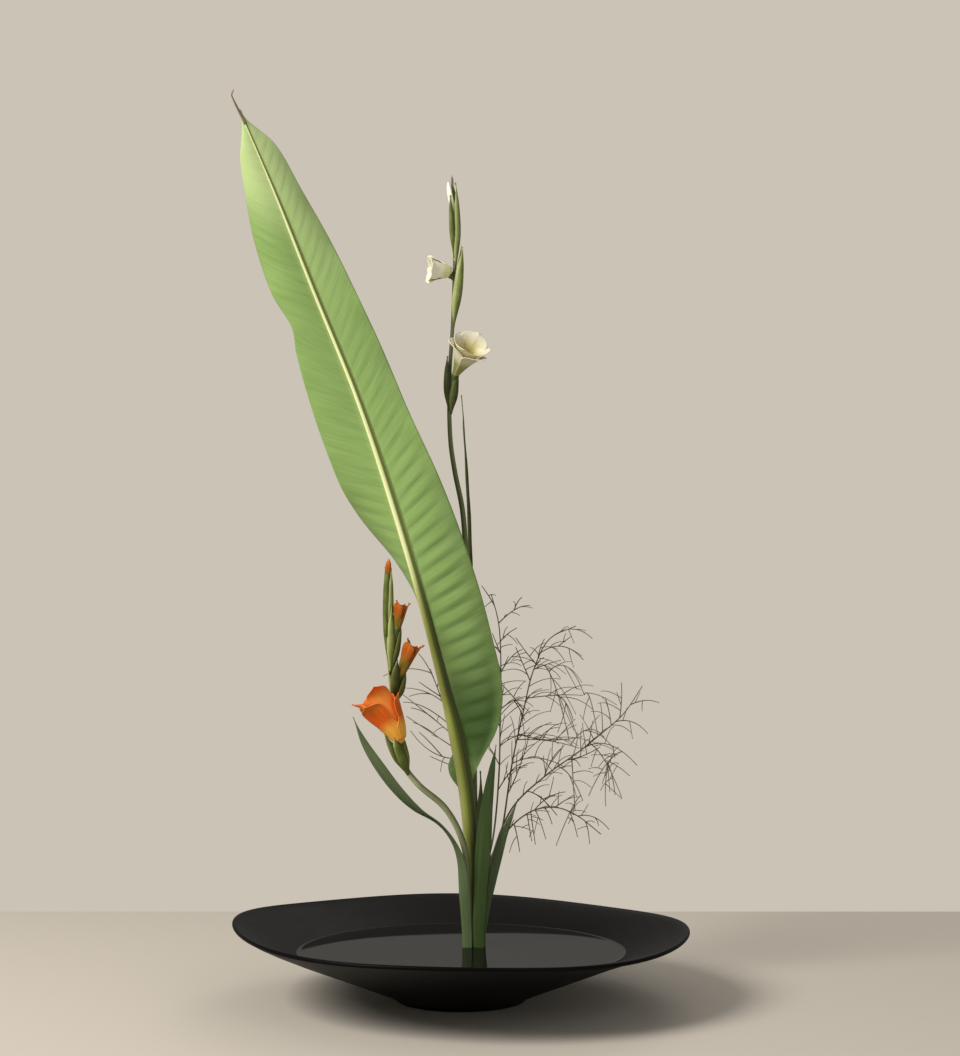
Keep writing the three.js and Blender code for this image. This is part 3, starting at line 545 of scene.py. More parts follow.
def bract_finish(name, light, dark, margin_and_light, shaded):
    """A bract: streaked green with pale margins and a pale tip, painted light along its left side
    and painted shade on its right.
    """
    bract = Finish(name, {"IOR": 1.45, "Specular IOR Level": 0.35})
    across, along = bract.across_along()
    fibres = bract.streaks(across * 26, along * 3, 4)
    drift = bract.noise(60, 3)
    rim = (across - 0.5).maths("ABSOLUTE").within(0.4, 0.5)
    painted_light_side = 1 - across.within(0.05, 0.45)
    tone = fibres.within(0.25, 0.75) * 0.5 + drift.within(0.35, 0.65) * 0.5
    shade = bract.mix(tone, dark, light)
    # Painted light: the left side is paled with the margin colour.
    shade = bract.mix(painted_light_side * 0.7, shade, margin_and_light)
    # Painted shade: the right side is darkened.
    shade = bract.mix(across.within(0.5, 0.85) * 0.75, shade, shaded)
    shade = bract.mix(rim * 0.3, shade, margin_and_light)
    shade = bract.mix(along.within(0.88, 1) * 0.5, shade, margin_and_light)
    return bract.wear(
        base_color=shade,
        roughness=0.42 + fibres * 0.16,
        normal=bract.bump(fibres, 0.0004, 0.6),
    )


# Each petal finish: the screen colours of its tip, middle, throat and lit edge, how strongly its
# veins show, and how far up its throat reaches.
PETALS = {
    "white_petal_inner": [
        (244, 240, 218), (218, 207, 160), (196, 184, 100), (248, 243, 220), 0.2, 0.5
    ],
    "white_petal_outer": [
        (242, 236, 208), (224, 216, 178), (150, 150, 78), (248, 242, 214), 0.2, 0.34
    ],
    "white_petal_closing": [
        (255, 252, 232), (254, 250, 222), (234, 228, 168), (255, 253, 236), 0.2, 0.2
    ],
    "orange_petal_inner": [
        (214, 104, 22), (238, 98, 12), (255, 168, 74), (244, 140, 58), 0.3, 0.3
    ],
    "orange_petal_front": [
        (236, 98, 12), (255, 158, 68), (224, 160, 48), (246, 146, 60), 0.3, 0.14
    ],
    "orange_petal_outer": [
        (230, 126, 44), (226, 92, 18), (250, 180, 70), (248, 160, 80), 0.5, 0.26
    ],
    # Darker, browner copies of the orange petals, for the middle and upper blooms and the orange
    # bud tip: painted shade.
    "shaded_orange_petal_inner": [(176, 92, 26), (124, 56, 8), (96, 66, 16), (190, 118, 58), 0.3, 0.34],
    "shaded_orange_petal_outer": [(196, 108, 36), (158, 78, 14), (112, 96, 26), (200, 126, 62), 0.5, 0.34],
}


def petal_finish(name, tip, middle, throat, edge, veins, reach):
    """A petal: its colour runs from the throat, which ends at a share of its length, to the tip,
    with fine veins and a lit edge."""
    petal = Finish(name, {"IOR": 1.4, "Specular IOR Level": 0.25})
    across, along = petal.across_along()
    veined = petal.streaks(across * 16, along * 2.2, 3)
    stops = [(0.0, throat), (reach, throat), (reach + 0.2, middle), (0.7, middle), (0.92, tip)]
    run = petal.ramp(along + (veined - 0.5) * 0.16, stops)
    rim = (across - 0.5).maths("ABSOLUTE").within(0.42, 0.5)
    shade = petal.mix(veined.within(0.45, 0.75) * veins, run, tip)
    shade = petal.mix(rim * 0.6, shade, edge)
    return petal.wear(
        base_color=shade,
        roughness=0.45 + veined * 0.2,
        normal=petal.bump(veined, 0.0004, 0.5),
    )


def sword_finish(name, light, dark):
    """A sword leaf: dull green with close parallel veins."""
    sword = Finish(name, {"IOR": 1.45, "Specular IOR Level": 0.35})
    across, along = sword.across_along()
    fibres = sword.streaks(across * 34, along * 3, 4)
    ridge = (across * (18 * 2 * math.pi)).maths("SINE") * 0.5 + 0.5
    drift = sword.noise(16, 3)
    shade = sword.mix(fibres.within(0.25, 0.75) * 0.6 + drift * 0.4, dark, light)
    shade = sword.mix(ridge * 0.25, shade, dark)
    return sword.wear(
        base_color=shade,
        roughness=0.42 + drift * 0.16,
        normal=sword.bump(ridge * 0.6 + fibres * 0.6, 0.0003, 0.6),
    )


def twig_finish():
    """Wiry olive twigs, browner and greener in patches, with tiny scales."""
    twig = Finish("asparagus_twig", {"IOR": 1.45, "Specular IOR Level": 0.2})
    patches = twig.noise(45, 3)
    scales = twig.noise(900, 2)
    shade = twig.mix(patches.within(0.35, 0.65), colour(92, 86, 66), colour(118, 120, 86))
    shade = twig.mix(scales.within(0.55, 0.75) * 0.4, shade, colour(142, 138, 112))
    return twig.wear(
        base_color=shade, roughness=0.6 + scales * 0.2, normal=twig.bump(scales, 0.0004, 0.7)
    )


def dry_finish():
    dry = Finish("dried_tip", {"Specular IOR Level": 0.2})
    grain = dry.noise(160, 3)
    shade = dry.mix(grain, colour(92, 78, 58), colour(168, 150, 122))
    return dry.wear(base_color=shade, roughness=0.7 + grain * 0.2)


# ------------------------------------------------------------------ bowl, water and holder


def rim_lift(x, y):
    """How far the hand-made rim is lifted at a place on the bowl."""
    turn = math.atan2(y, x)
    wave = (
        -RIM_TILT * math.cos(turn)
        + RIM_SADDLE * math.cos(2 * turn)
        + RIM_RIPPLE * math.cos(4 * turn)
    )
    share = max(0, math.hypot(x, y) - RIM_WAVE_FROM) / (RIM_RADIUS - RIM_WAVE_FROM)
    return wave * share**2


def inside_height(radius):
    slope = (WATER_HEIGHT + 0.3 - FLOOR_HEIGHT) / (WATER_RADIUS + 1.5 - FLOOR_RADIUS)
    return FLOOR_HEIGHT + max(0, radius - FLOOR_RADIUS) * slope


def make_bowl(glaze):
    ring_inside = FOOT_RADIUS - FOOT_RING
    outside = [(radius, inside_height(radius) - WALL) for radius in (72, 100, 125, 150, 176, 190)]
    inside = [(radius, inside_height(radius)) for radius in (190, 176, 150, 125, 100, 78)]
    lip = 1.8
    middle = (RIM_RADIUS - lip, RIM_HEIGHT - lip)
    rounded_lip = [
        (middle[0] + lip * math.sin(turn), middle[1] - lip * math.cos(turn))
        for turn in (math.radians(20 + 20 * i) for i in range(9))
    ]
    profile = [
        (0, FOOT_RECESS),
        (ring_inside - 2, FOOT_RECESS),
        (ring_inside - 0.4, 0.6),
        (ring_inside + 0.6, 0),
        (FOOT_RADIUS - 0.8, 0),
        (FOOT_RADIUS, 0.6),
        (FOOT_RADIUS + 2.4, FOOT_RECESS + 0.6),
        (FOOT_RADIUS + 5, FOOT_RECESS + 1.9),
        *outside,
        *rounded_lip,
        *inside,
        (FLOOR_RADIUS + 3, FLOOR_HEIGHT + 0.7),
        (FLOOR_RADIUS - 3, FLOOR_HEIGHT),
        (0, FLOOR_HEIGHT),
    ]
    bowl = turned(profile, sides=192)
    for corner in bowl.verts:
        corner.co.z += rim_lift(corner.co.x, corner.co.y)
    finished("dark_bowl", bowl, "bowl", [glaze], sharp=50)


def make_water(water):
    surface = [
        (0, FLOOR_HEIGHT + 0.4),
        (FLOOR_RADIUS - 1, FLOOR_HEIGHT + 0.4),
        (WATER_RADIUS - 3, WATER_HEIGHT - 1.2),
        (WATER_RADIUS, WATER_HEIGHT + 0.1),
        (WATER_RADIUS - 1.2, WATER_HEIGHT - 0.1),
        (WATER_RADIUS - 4, WATER_HEIGHT - 0.2),
        (0, WATER_HEIGHT - 0.2),
    ]
    pool = turned(surface, sides=160)
    finished("bowl_water", pool, "water", [water], sharp=30)


def make_holder(lead, brass):
    finishes = [lead, brass]
    x, y = HOLDER_PLACE
    holder = turned(
        [
            (0, FLOOR_HEIGHT + 0.3),
            (HOLDER_RADIUS - 0.6, FLOOR_HEIGHT + 0.3),
            (HOLDER_RADIUS, FLOOR_HEIGHT + 1),
            (HOLDER_RADIUS - 0.6, HOLDER_TOP - 1),
            (HOLDER_RADIUS - 1.6, HOLDER_TOP),
            (0, HOLDER_TOP),
        ],
        sides=96,
    )
    bmesh.ops.translate(holder, vec=(x, y, 0), verts=holder.verts)
    row = PIN_SPACING * math.sqrt(0.75)
    reach = HOLDER_RADIUS - 2.5
    count = math.ceil(reach / row)
    for j in range(-count, count + 1):
        for i in range(-count, count + 1):
            spot = Vector((i * PIN_SPACING + (j % 2) * PIN_SPACING / 2, j * row, 0))
            if spot.length < reach:
                pin = new_mesh()
                bmesh.ops.create_cone(
                    pin,
                    cap_ends=True,
                    segments=8,
                    radius1=0.8,
                    radius2=0.06,
                    depth=14,
                    matrix=Matrix.Translation(spot + Vector((x, y, HOLDER_TOP + 6))),
                )
                paint(pin, finishes.index(brass))
                gather(holder, pin)
    finished("needle_point_holder", holder, "needle_holder", finishes, sharp=40)


# ------------------------------------------------------------------ the tall leaf

LEAF = Line(
    [
        *standing(10, 26),
        (9, 26, 121),
        (2, 24, 194),
        (-22, 18, 299),
        (-54, 7, 414),
        (-91, -5, 526),
        (-131, -22, 625),
        (-162, -44, 703),
        (-192, -70, 773),
    ]
)
BLADE_FROM = 168
VEINS = 46

# Every list below is (distance along the rib, value).
RIB_RADIUS = keyed(
    [
        (0, 6.4), (120, 6.6), (200, 7), (260, 5.2), (335, 4.3), (440, 3.9), (530, 2.9),
        (660, 2.3), (790, 1)
    ]
)
RIGHT_WIDTH = keyed(
    [
        (150, 1), (168, 6), (185, 18), (207, 38), (236, 52), (290, 56), (387, 51), (435, 47),
        (504, 39), (578, 36), (659, 31), (715, 24), (761, 18), (797, 1)
    ]
)
LEFT_WIDTH = keyed(
    [
        (150, 1), (160, 7), (176, 19), (195, 25), (225, 32), (290, 42), (387, 47), (467, 45),
        (532, 43), (585, 37), (607, 32), (640, 38), (691, 37), (722, 31), (758, 20), (797, 1)
    ]
)
# How far each half of the blade turns back, in degrees: at the rib, and more to its margin.
RIGHT_TURN = keyed([(150, 0), (236, -12), (797, -10)])
RIGHT_ROLL = keyed([(150, 30), (236, 50), (300, 55), (400, 35), (600, 25), (797, 60)])
LEFT_TURN = keyed(
    [
        (150, 0), (184, 0), (202, 55), (228, 86), (255, 82), (285, 66), (310, 64), (340, 62),
        (363, 51), (401, 33), (432, 18), (467, 3), (797, -10)
    ]
)
LEFT_ROLL = keyed(
    [(150, 90), (195, 95), (240, 60), (363, 55), (467, 30), (580, 30), (690, 60), (797, 70)]
)
# How far the side veins climb on their way from the rib to the margin.
VEIN_CLIMB = keyed([(168, -14), (230, 0), (400, 22), (600, 36), (720, 26), (790, 4)])
# The pleats between the veins are deep near the leaf's base and fade towards its tip.
PLEAT_DEPTH = keyed([(168, 0.35), (260, 0.65), (400, 0.4), (520, 0.16), (797, 0.08)])


def leaf_frame(distance):
    share = min(max(distance / LEAF.length, 0), 1)
    up = LEAF.heading(share)
    side = up.cross(Vector((0, -1, 0))).normalized()
    return LEAF.at(share), side, side.cross(up)


def leaf_point(across, along):
    """A place on the blade: across from -1 to 1, and along from its root to its tip."""
    root = BLADE_FROM + (LEAF.length - BLADE_FROM) * along
    out = abs(across)
    distance = min(root + VEIN_CLIMB(root) * out, LEAF.length)
    right = across > 0
    width = (RIGHT_WIDTH if right else LEFT_WIDTH)(distance)
    start = math.radians((RIGHT_TURN if right else LEFT_TURN)(distance))
    roll = math.radians((RIGHT_ROLL if right else LEFT_ROLL)(distance))
    reach = width * (math.sin(start + roll * out) - math.sin(start)) / roll
    back = width * (math.cos(start) - math.cos(start + roll * out)) / roll
    vein = along * VEINS
    pleat = math.sin(2 * math.pi * vein) + 0.3 * math.sin(4 * math.pi * vein)
    pleat *= PLEAT_DEPTH(root) * (1 if right else 0.7) * math.sin(math.pi * min(1, out * 1.15))
    wave = 1.8 * math.sin(distance / 23) * out**3 + 0.5 * math.sin(distance / 6.3) * out**5
    at, side, front = leaf_frame(distance)
    return at + side * (reach if right else -reach) + front * (pleat + wave - back)


def make_leaf(face, back, rib, dry):
    face_side, back_side, rib_part, dry_part = range(4)
    leaf = blade(
        lambda u, v: leaf_point(2 * u - 1, v),
        columns=56,
        rows=9 * VEINS,
        thickness=0.8,
        finishes=(face_side, back_side),
    )

    def channel(_, turn):
        """The groove down the front of the stalk."""
        facing = math.cos(turn + math.pi / 2)
        return 1 - 0.24 * smooth_step(0.8, 1, facing)

    rib_length = 0.99 * LEAF.length
    rib_line = Line([leaf_frame(rib_length * i / 40)[0] for i in range(41)], fine=6)
    gather(
        leaf,
        limb(
            rib_line,
            lambda share: RIB_RADIUS(share * rib_length),
            sides=28,
            steps=180,
            finish=rib_part,
            shape=channel,
        ),
    )
    tip = LEAF.at(0.985)
    curl = Line([tip, (-196.5, -74, 780), (-198.4, -76, 785), (-196.5, -78, 788.8)])
    gather(
        leaf, limb(curl, lambda share: 1.5 - 1.1 * share, sides=10, steps=24, finish=dry_part)
    )
    finished("paddle_leaf", leaf, "tall_leaf", [face, back, rib, dry])


# ------------------------------------------------------------------ gladiolus

# The order of a spike's finishes, and of a bloom's
STEM, BRACT, SHEATH, DRIED = range(4)
INSIDE, INNER_WHORL, OUTER_WHORL, ANTHER = range(4)

BRACT_OUTLINE = keyed([(0, 0.3), (0.35, 1), (0.7, 0.75), (1, 0.04)])
BRACT_CLASP = keyed([(0, 0.35), (0.4, 1), (0.75, 0.8), (1, 0.4)])


def bract(foot, tip, outward, half_width, clasp, bulge, finish=BRACT, thickness=0.6):
    """A pointed scoop from a foot to a tip. It hugs the stem at its foot, clasps what is inside
    it and bulges outward at an angle about Z."""
    foot = Vector(foot)
    axis = Vector(tip) - foot

    def place(across, along):
        out = 2 * across - 1
        radius = clasp * BRACT_CLASP(along)
        turn = out * min(half_width * BRACT_OUTLINE(along) / radius, 0.8 * math.pi)
        swell = bulge * math.sin(math.pi * along)
        keel = 0.35 * (1 - abs(out)) ** 3
        return Vector(
            (
                (radius + keel) * math.cos(turn) + swell,
                radius * math.sin(turn),
                axis.length * along,
            )
        )

    scoop = blade(place, columns=16, rows=40, thickness=thickness, finishes=(finish, finish))
    turn = math.radians(outward)
    return stood(scoop, foot, axis, (math.cos(turn), math.sin(turn), 0))


def bud(start, end, radius, bow=(0, 0, 0), finish=BRACT):
    """A closed bud: a spindle that is fattest a little below its middle."""
    start, end = Vector(start), Vector(end)
    line = Line([start, start.lerp(end, 0.45) + Vector(bow), end])

    def swell(share):
        fat = 0.25 + 0.75 * math.sin(math.pi * (0.15 + 0.8 * share))
        return radius * fat * (1 - 0.8 * smooth_step(0.75, 1, share))

    return limb(line, swell, sides=16, steps=40, finish=finish)


PETAL_FROM = 0.06
PETAL_OUTLINE = keyed([(0, 0.28), (0.35, 0.6), (0.65, 1), (0.88, 0.82), (1, 0.06)])


@dataclass
class Flower:
    """A gladiolus flower along its own +Z: a tube that widens into two whorls of petals."""

    base: tuple
    axis: tuple
    roll: float  # the turn of the first petal about the axis, in degrees
    length: float
    tube: float  # the radius at its foot
    mouth: float  # the radius at its rim
    petal: float  # half the width of a petal
    flare: float  # how late the tube widens
    sizes: tuple  # the length of each petal, as a share of the flower's
    ruffle: float  # how far the margins wave
    curl: float  # how far the tips turn out
    bow: float = 0  # how far the flower bends to its right half way up

    def radius_at(self, along):
        return self.tube + (self.mouth - self.tube) * along**self.flare

    def height_at(self, along):
        return self.length * (along - 0.12 * along**4)

    def petal_part(self, index):
        outer = index % 2
        turn = math.radians(60 * index + self.roll)

        def place(u, v):
            across = 2 * u - 1
            along = PETAL_FROM + (1 - PETAL_FROM) * v
            radius = self.radius_at(along) + 0.8 * outer
            half_width = self.petal * PETAL_OUTLINE(along)
            shut = smooth_step(0.5, 0.15, along)
            half_width = min(half_width + shut * radius, 1.25 * radius)
            bend = radius * (1.02 + 0.5 * along if outer else 1)
            angle = across * half_width / bend
            frill = self.ruffle * across**2 * along**3
            frill *= math.sin(9 * along + 2.1 * index + 1.3 * across)
            crease = math.sin(3.4 * across + 6 * along + 1.7 * index)
            frill += 0.5 * self.ruffle * crease * smooth_step(0.3, 0.8, along)
            keel = 0.5 * (1 - abs(across)) ** 4 * smooth_step(0.3, 0.8, along)
            lip = self.curl * smooth_step(0.7, 1, along) ** 2
            out = radius - bend + bend * math.cos(angle) + frill - keel + lip
            out += (1.2 * outer) * across**2 * along**2
            side = bend * math.sin(angle)
            height = self.height_at(along) * self.sizes[index] - 0.45 * lip
            return Vector(
                (
                    out * math.cos(turn) - side * math.sin(turn),
                    out * math.sin(turn) + side * math.cos(turn),
                    height,
                )
            )

        finishes = (OUTER_WHORL if outer else INNER_WHORL, INSIDE)
        return blade(place, columns=18, rows=36, thickness=0.45, finishes=finishes)

    def stamen(self, index):
        """One of three anthers on their stalks, deep in the tube."""
        turn = math.radians(120 * index + self.roll)
        lean = Vector((math.cos(turn), math.sin(turn), 0))
        foot = Vector((0, 0, self.length * 0.15)) + 0.8 * lean
        tip = Vector((0, 0, self.length * 0.6)) + lean * self.mouth * 0.12
        middle = foot.lerp(tip, 0.5) - lean
        return limb(
            Line([foot, middle, tip]),
            lambda share: 0.4 + 0.8 * smooth_step(0.8, 0.9, share),
            sides=8,
            steps=20,
            finish=ANTHER,
        )

    def funnel(self):
        """The closed foot of the tube, which wears the throat's colour all over."""
        wall = [(self.radius_at(part) + 0.3, self.height_at(part)) for part in (0, 0.05, 0.1, 0.2)]
        funnel = turned([(0, 0), *wall, (0, wall[-1][1])], sides=24)
        paint(funnel, OUTER_WHORL)
        across_along = funnel.loops.layers.uv.active
        for face in funnel.faces:
            for loop in face.loops:
                loop[across_along].uv = (0.5, 0)
        return funnel

    def make(self, name, node, finishes):
        """The finishes are for the petals' inside, the outside of the inner and of the outer
        whorl, and the anthers."""
        whole = new_mesh()
        for index in range(6):
            gather(whole, self.petal_part(index))
        for index in range(3):
            gather(whole, self.stamen(index))
        gather(whole, self.funnel())
        for corner in whole.verts:
            height = min(max(corner.co.z / self.length, 0), 1)
            corner.co.y += 4 * self.bow * height * (1 - height)
        stood(whole, self.base, self.axis, (0, -1, 0.01))
        finished(name, whole, node, finishes)


WHITE_LINE = Line(
    [
        *standing(15, 38),
        (12, 39, 120),
        (10, 42, 240),
        (7, 46, 350),
        (3, 48, 404),
        (0, 48, 436),
        (-7, 50, 471),
        (-11, 51, 500),
        (-12, 53, 556),
        (-9, 55, 610),
        (-7, 57, 684),
    ]
)
ORANGE_LINE = Line(
    [
        *standing(8, 17),
        (6, 17, 90),
        (2, 14, 132),
        (-14, 5, 165),
        (-38, -3, 187),
        (-50, -3, 203),
        (-54.5, 3, 228),
        (-58, 6, 248),
        (-62, 3, 268),
        (-65, -9, 312),
        (-66, -15, 345),
    ]
)

WHITE_OPEN = Flower(
    base=(-7.6, 47.8, 558),
    axis=(0.43, -0.53, 0.75),
    roll=0,
    length=45,
    tube=2.2,
    mouth=18,
    petal=15,
    flare=1.4,
    sizes=(0.98, 0.88, 0.98, 1.08, 0.97, 0.9),
    ruffle=0.8,
    curl=2.5,
)
WHITE_HALF = Flower(
    base=(-10.4, 56, 659),
    axis=(-0.97, -0.22, 0.05),
    roll=45,
    length=25,
    tube=3.4,
    mouth=10.6,
    petal=9,
    flare=0.75,
    sizes=(1, 1.03, 0.97, 1.02, 1, 0.98),
    ruffle=0.8,
    curl=1,
)
ORANGE_OPEN = Flower(
    base=(-51.9, -20, 224.3),
    axis=(-0.56, 0.03, 0.83),
    roll=25,
    length=54,
    tube=2,
    mouth=17,
    petal=13.5,
    flare=0.6,
    sizes=(1.15, 0.82, 0.93, 1.06, 1.12, 0.93),
    ruffle=1,
    curl=1.6,
    bow=3,
)
ORANGE_MIDDLE = Flower(
    base=(-54.2, -13, 283),
    axis=(0.4, -0.16, 0.9),
    roll=30,
    length=37,
    tube=2.6,
    mouth=7.2,
    petal=7,
    flare=1,
    sizes=(0.97, 1.03, 0.88, 0.88, 1.04, 0.98),
    ruffle=0.3,
    curl=0.4,
)
ORANGE_UPPER = Flower(
    base=(-57, -15, 324),
    axis=(0.2, -0.12, 0.97),
    roll=30,
    length=28,
    tube=1.8,
    mouth=5.6,
    petal=5,
    flare=0.6,
    sizes=(0.96, 1.01, 0.86, 0.86, 1.02, 0.97),
    ruffle=0.3,
    curl=0.3,
)


def spathe(flower, foot, bracts):
    """The short neck that carries a flower, and the bracts that clasp its tube."""
    foot = Vector(foot)
    seat = Vector(flower.base) + 3 * Vector(flower.axis).normalized()
    neck = Line([foot, foot.lerp(seat, 0.5), seat])
    parts = [limb(neck, lambda share: 1.6 + 2 * share, sides=14, steps=12, finish=BRACT)]
    return parts + [bract(foot, *shape) for shape in bracts]


def make_spike(name, node, line, radius, parts, finishes):
    """A gladiolus stem with the bracts and buds that grow on it."""
    spike = new_mesh()
    for part in [limb(line, radius, sides=18, steps=160, finish=STEM), *parts]:
        gather(spike, part)
    finished(name, spike, node, finishes)


def make_white_spike(finishes):
    radius = keyed([(0, 3.2), (0.5, 2.7), (0.85, 1.8), (1, 1.5)])
    parts = [
        bract((13, 39.5, 62), (15.5, 42, 196), -37, 10, 5.2, 1.5, SHEATH, thickness=0.8),
        sword(
            Line([(8, 44, 318), (8.5, 48, 360), (6.5, 50, 430), (3, 51, 490), (-0.5, 51, 542)]),
            keyed([(0, 2.2), (0.6, 1.7), (1, 0.3)]),
            lambda share: 35,
            columns=6,
            finish=SHEATH,
        ),
        bud((-7, 57, 678), (-10, 60, 748), 2.9, (2.6, 0, 0)),
        bud((-9.6, 59.6, 738), (-10, 60, 752), 1.3, finish=DRIED),
        bud((-8, 56, 614), (-1, 56, 684), 3.2, (1, 1, 0)),
        bract((-7.5, 57, 660), (-8, 59, 744), -17, 8, 4.4, 1.6),
        bract((-7.5, 56, 672), (-11, 54.5, 731), 235, 5.5, 3.2, 0.2),
        bract((-9, 55.5, 606), (-1, 56, 682), -40, 9, 4.6, 1),
        *spathe(
            WHITE_OPEN,
            (-11, 51.5, 524),
            [
                ((-12.6, 50, 578), 215, 8, 4.4, 1.4, SHEATH),
                ((-5.4, 46, 565), -45, 7, 4.4, 0.2, SHEATH),
            ],
        ),
        *spathe(WHITE_HALF, (-8, 56, 651), [((-14, 60, 664), 100, 4, 4, 0.5)]),
    ]
    node = "white_gladiolus_stem"
    make_spike("white_gladiolus", node, WHITE_LINE, radius, parts, finishes)


def make_orange_spike(finishes):
    radius = keyed([(0, 2.8), (0.5, 2.7), (0.8, 2), (1, 1.4)])
    parts = [
        bud((-66, -15, 318), (-64.6, -16, 386), 3.6),
        bract((-63, -4, 284), (-66.4, -16, 379), 225, 7, 3.8, 1.4),
        bract((-65, -14, 312), (-62.9, -16, 378), -35, 6, 3.4, 0.8),
        *spathe(
            ORANGE_OPEN,
            (-47, -4.5, 196.5),
            [
                ((-66.5, -22, 235), 225, 8, 5, 0.5),
                ((-53, -22, 233), -50, 6, 4.2, -0.5),
                ((-58.5, -25, 231), 262, 9.5, 5.2, -0.3),
            ],
        ),
        *spathe(
            ORANGE_MIDDLE,
            (-60, 2.5, 258),
            [
                ((-55.5, -20.5, 298), 262, 8, 4.8, 0.8, SHEATH),
                ((-50.5, -15, 288), -10, 7, 4.6, 0.6, SHEATH),
            ],
        ),
        *spathe(
            ORANGE_UPPER,
            (-63, -5.5, 286),
            [
                ((-62, -18, 344), 290, 6.5, 4, 2),
                ((-54.5, -16, 330), -10, 6, 4, 0.6, SHEATH),
            ],
        ),
    ]
    node = "orange_gladiolus_stem"
    make_spike("orange_gladiolus", node, ORANGE_LINE, radius, parts, finishes)


def make_bud_tip(name, node, slot, start, end, radius, finish):
    """The rolled petals that show above the bracts of a bud."""
    start, end = Vector(start), Vector(end)
    line = Line([start, start.lerp(end, 0.5), end])
    swell = keyed([(0, radius * 0.85), (0.5, radius), (0.85, radius * 0.75), (1, 0.6)])

    def rolled(share, turn):
        return 1 + 0.12 * math.cos(3 * turn + 3.5 * share) * smooth_step(0.1, 0.4, share)

    tip = new_mesh()
    gather(tip, limb(line, swell, sides=24, steps=40, shape=rolled))
    finished(name, tip, node, [finish])


# ------------------------------------------------------------------ sword leaves


def sword(line, half_width, facing, columns=14, finish=0):
    """A sword-shaped leaf along a line, folded a little along its middle. facing turns its width
    about the line, in degrees from the viewer's right."""

    def place(u, v):
        across = 2 * u - 1
        turn = math.radians(facing(v))
        up = line.heading(v)
        side = Vector((math.cos(turn), math.sin(turn), 0))
        side = (side - side.dot(up) * up).normalized()
        width = half_width(v)
        fold = 0.16 * width * (abs(across) ** 1.5 - 0.5)
        wave = 0.25 * across**2 * math.sin(v * 31 + 2 * across)
        return line.at(v) + side * across * width + up.cross(side) * (fold + wave)

    return blade(place, columns, rows=90, thickness=0.8, finishes=(finish, finish))


# Each sword leaf: its line and, by the share of its length, its half width and the turn of its
# width about it
SWORD_LEAVES = {
    "sword_leaf_left": (
        [
            *standing(5, 10.9),
            (3, 10.5, 84),
            (-1, 9.5, 118),
            (-8, 8, 136),
            (-20, 4, 151),
            (-39, 0, 164),
            (-57, -4, 182),
            (-73, -9, 204),
            (-86, -12, 225),
            (-95, -18, 247),
        ],
        [(0, 4.2), (0.25, 4.8), (0.38, 5.2), (0.5, 4.6), (0.75, 5.6), (0.9, 3.4), (1, 0.2)],
        [(0, 0), (0.25, -6), (0.42, -62), (0.52, -60), (0.7, -25), (1, -20)],
    ),
    "sword_leaf_centre": (
        [
            *standing(15.3, 10.9),
            (16.5, 11, 84),
            (19, 12, 128),
            (22, 13, 163),
            (26, 14, 192),
            (31, 16, 221),
        ],
        [(0, 4.6), (0.3, 6), (0.55, 7.2), (0.75, 5.2), (0.9, 2.6), (1, 0.2)],
        [(0, -8), (1, -8)],
    ),
    "sword_leaf_right": (
        [
            *standing(18, 16.9),
            (23, 18, 82),
            (30, 20, 112),
            (37, 22, 137),
            (43, 23, 153),
            (51, 25, 172),
        ],
        [(0, 3.2), (0.4, 4), (0.65, 4.3), (0.85, 2.6), (1, 0.2)],
        [(0, 15), (1, 15)],
    ),
}


def make_sword_leaves(pale, painted_shade):
    for node, (places, widths, facing) in SWORD_LEAVES.items():
        leaf = sword(Line(places), keyed(widths), keyed(facing))
        # The centre leaf wears a darker copy of the sword finish: painted shade.
        finish = painted_shade if node == "sword_leaf_centre" else pale
        finished(node + "_blade", leaf, node, [finish])


# ------------------------------------------------------------------ asparagus sprays

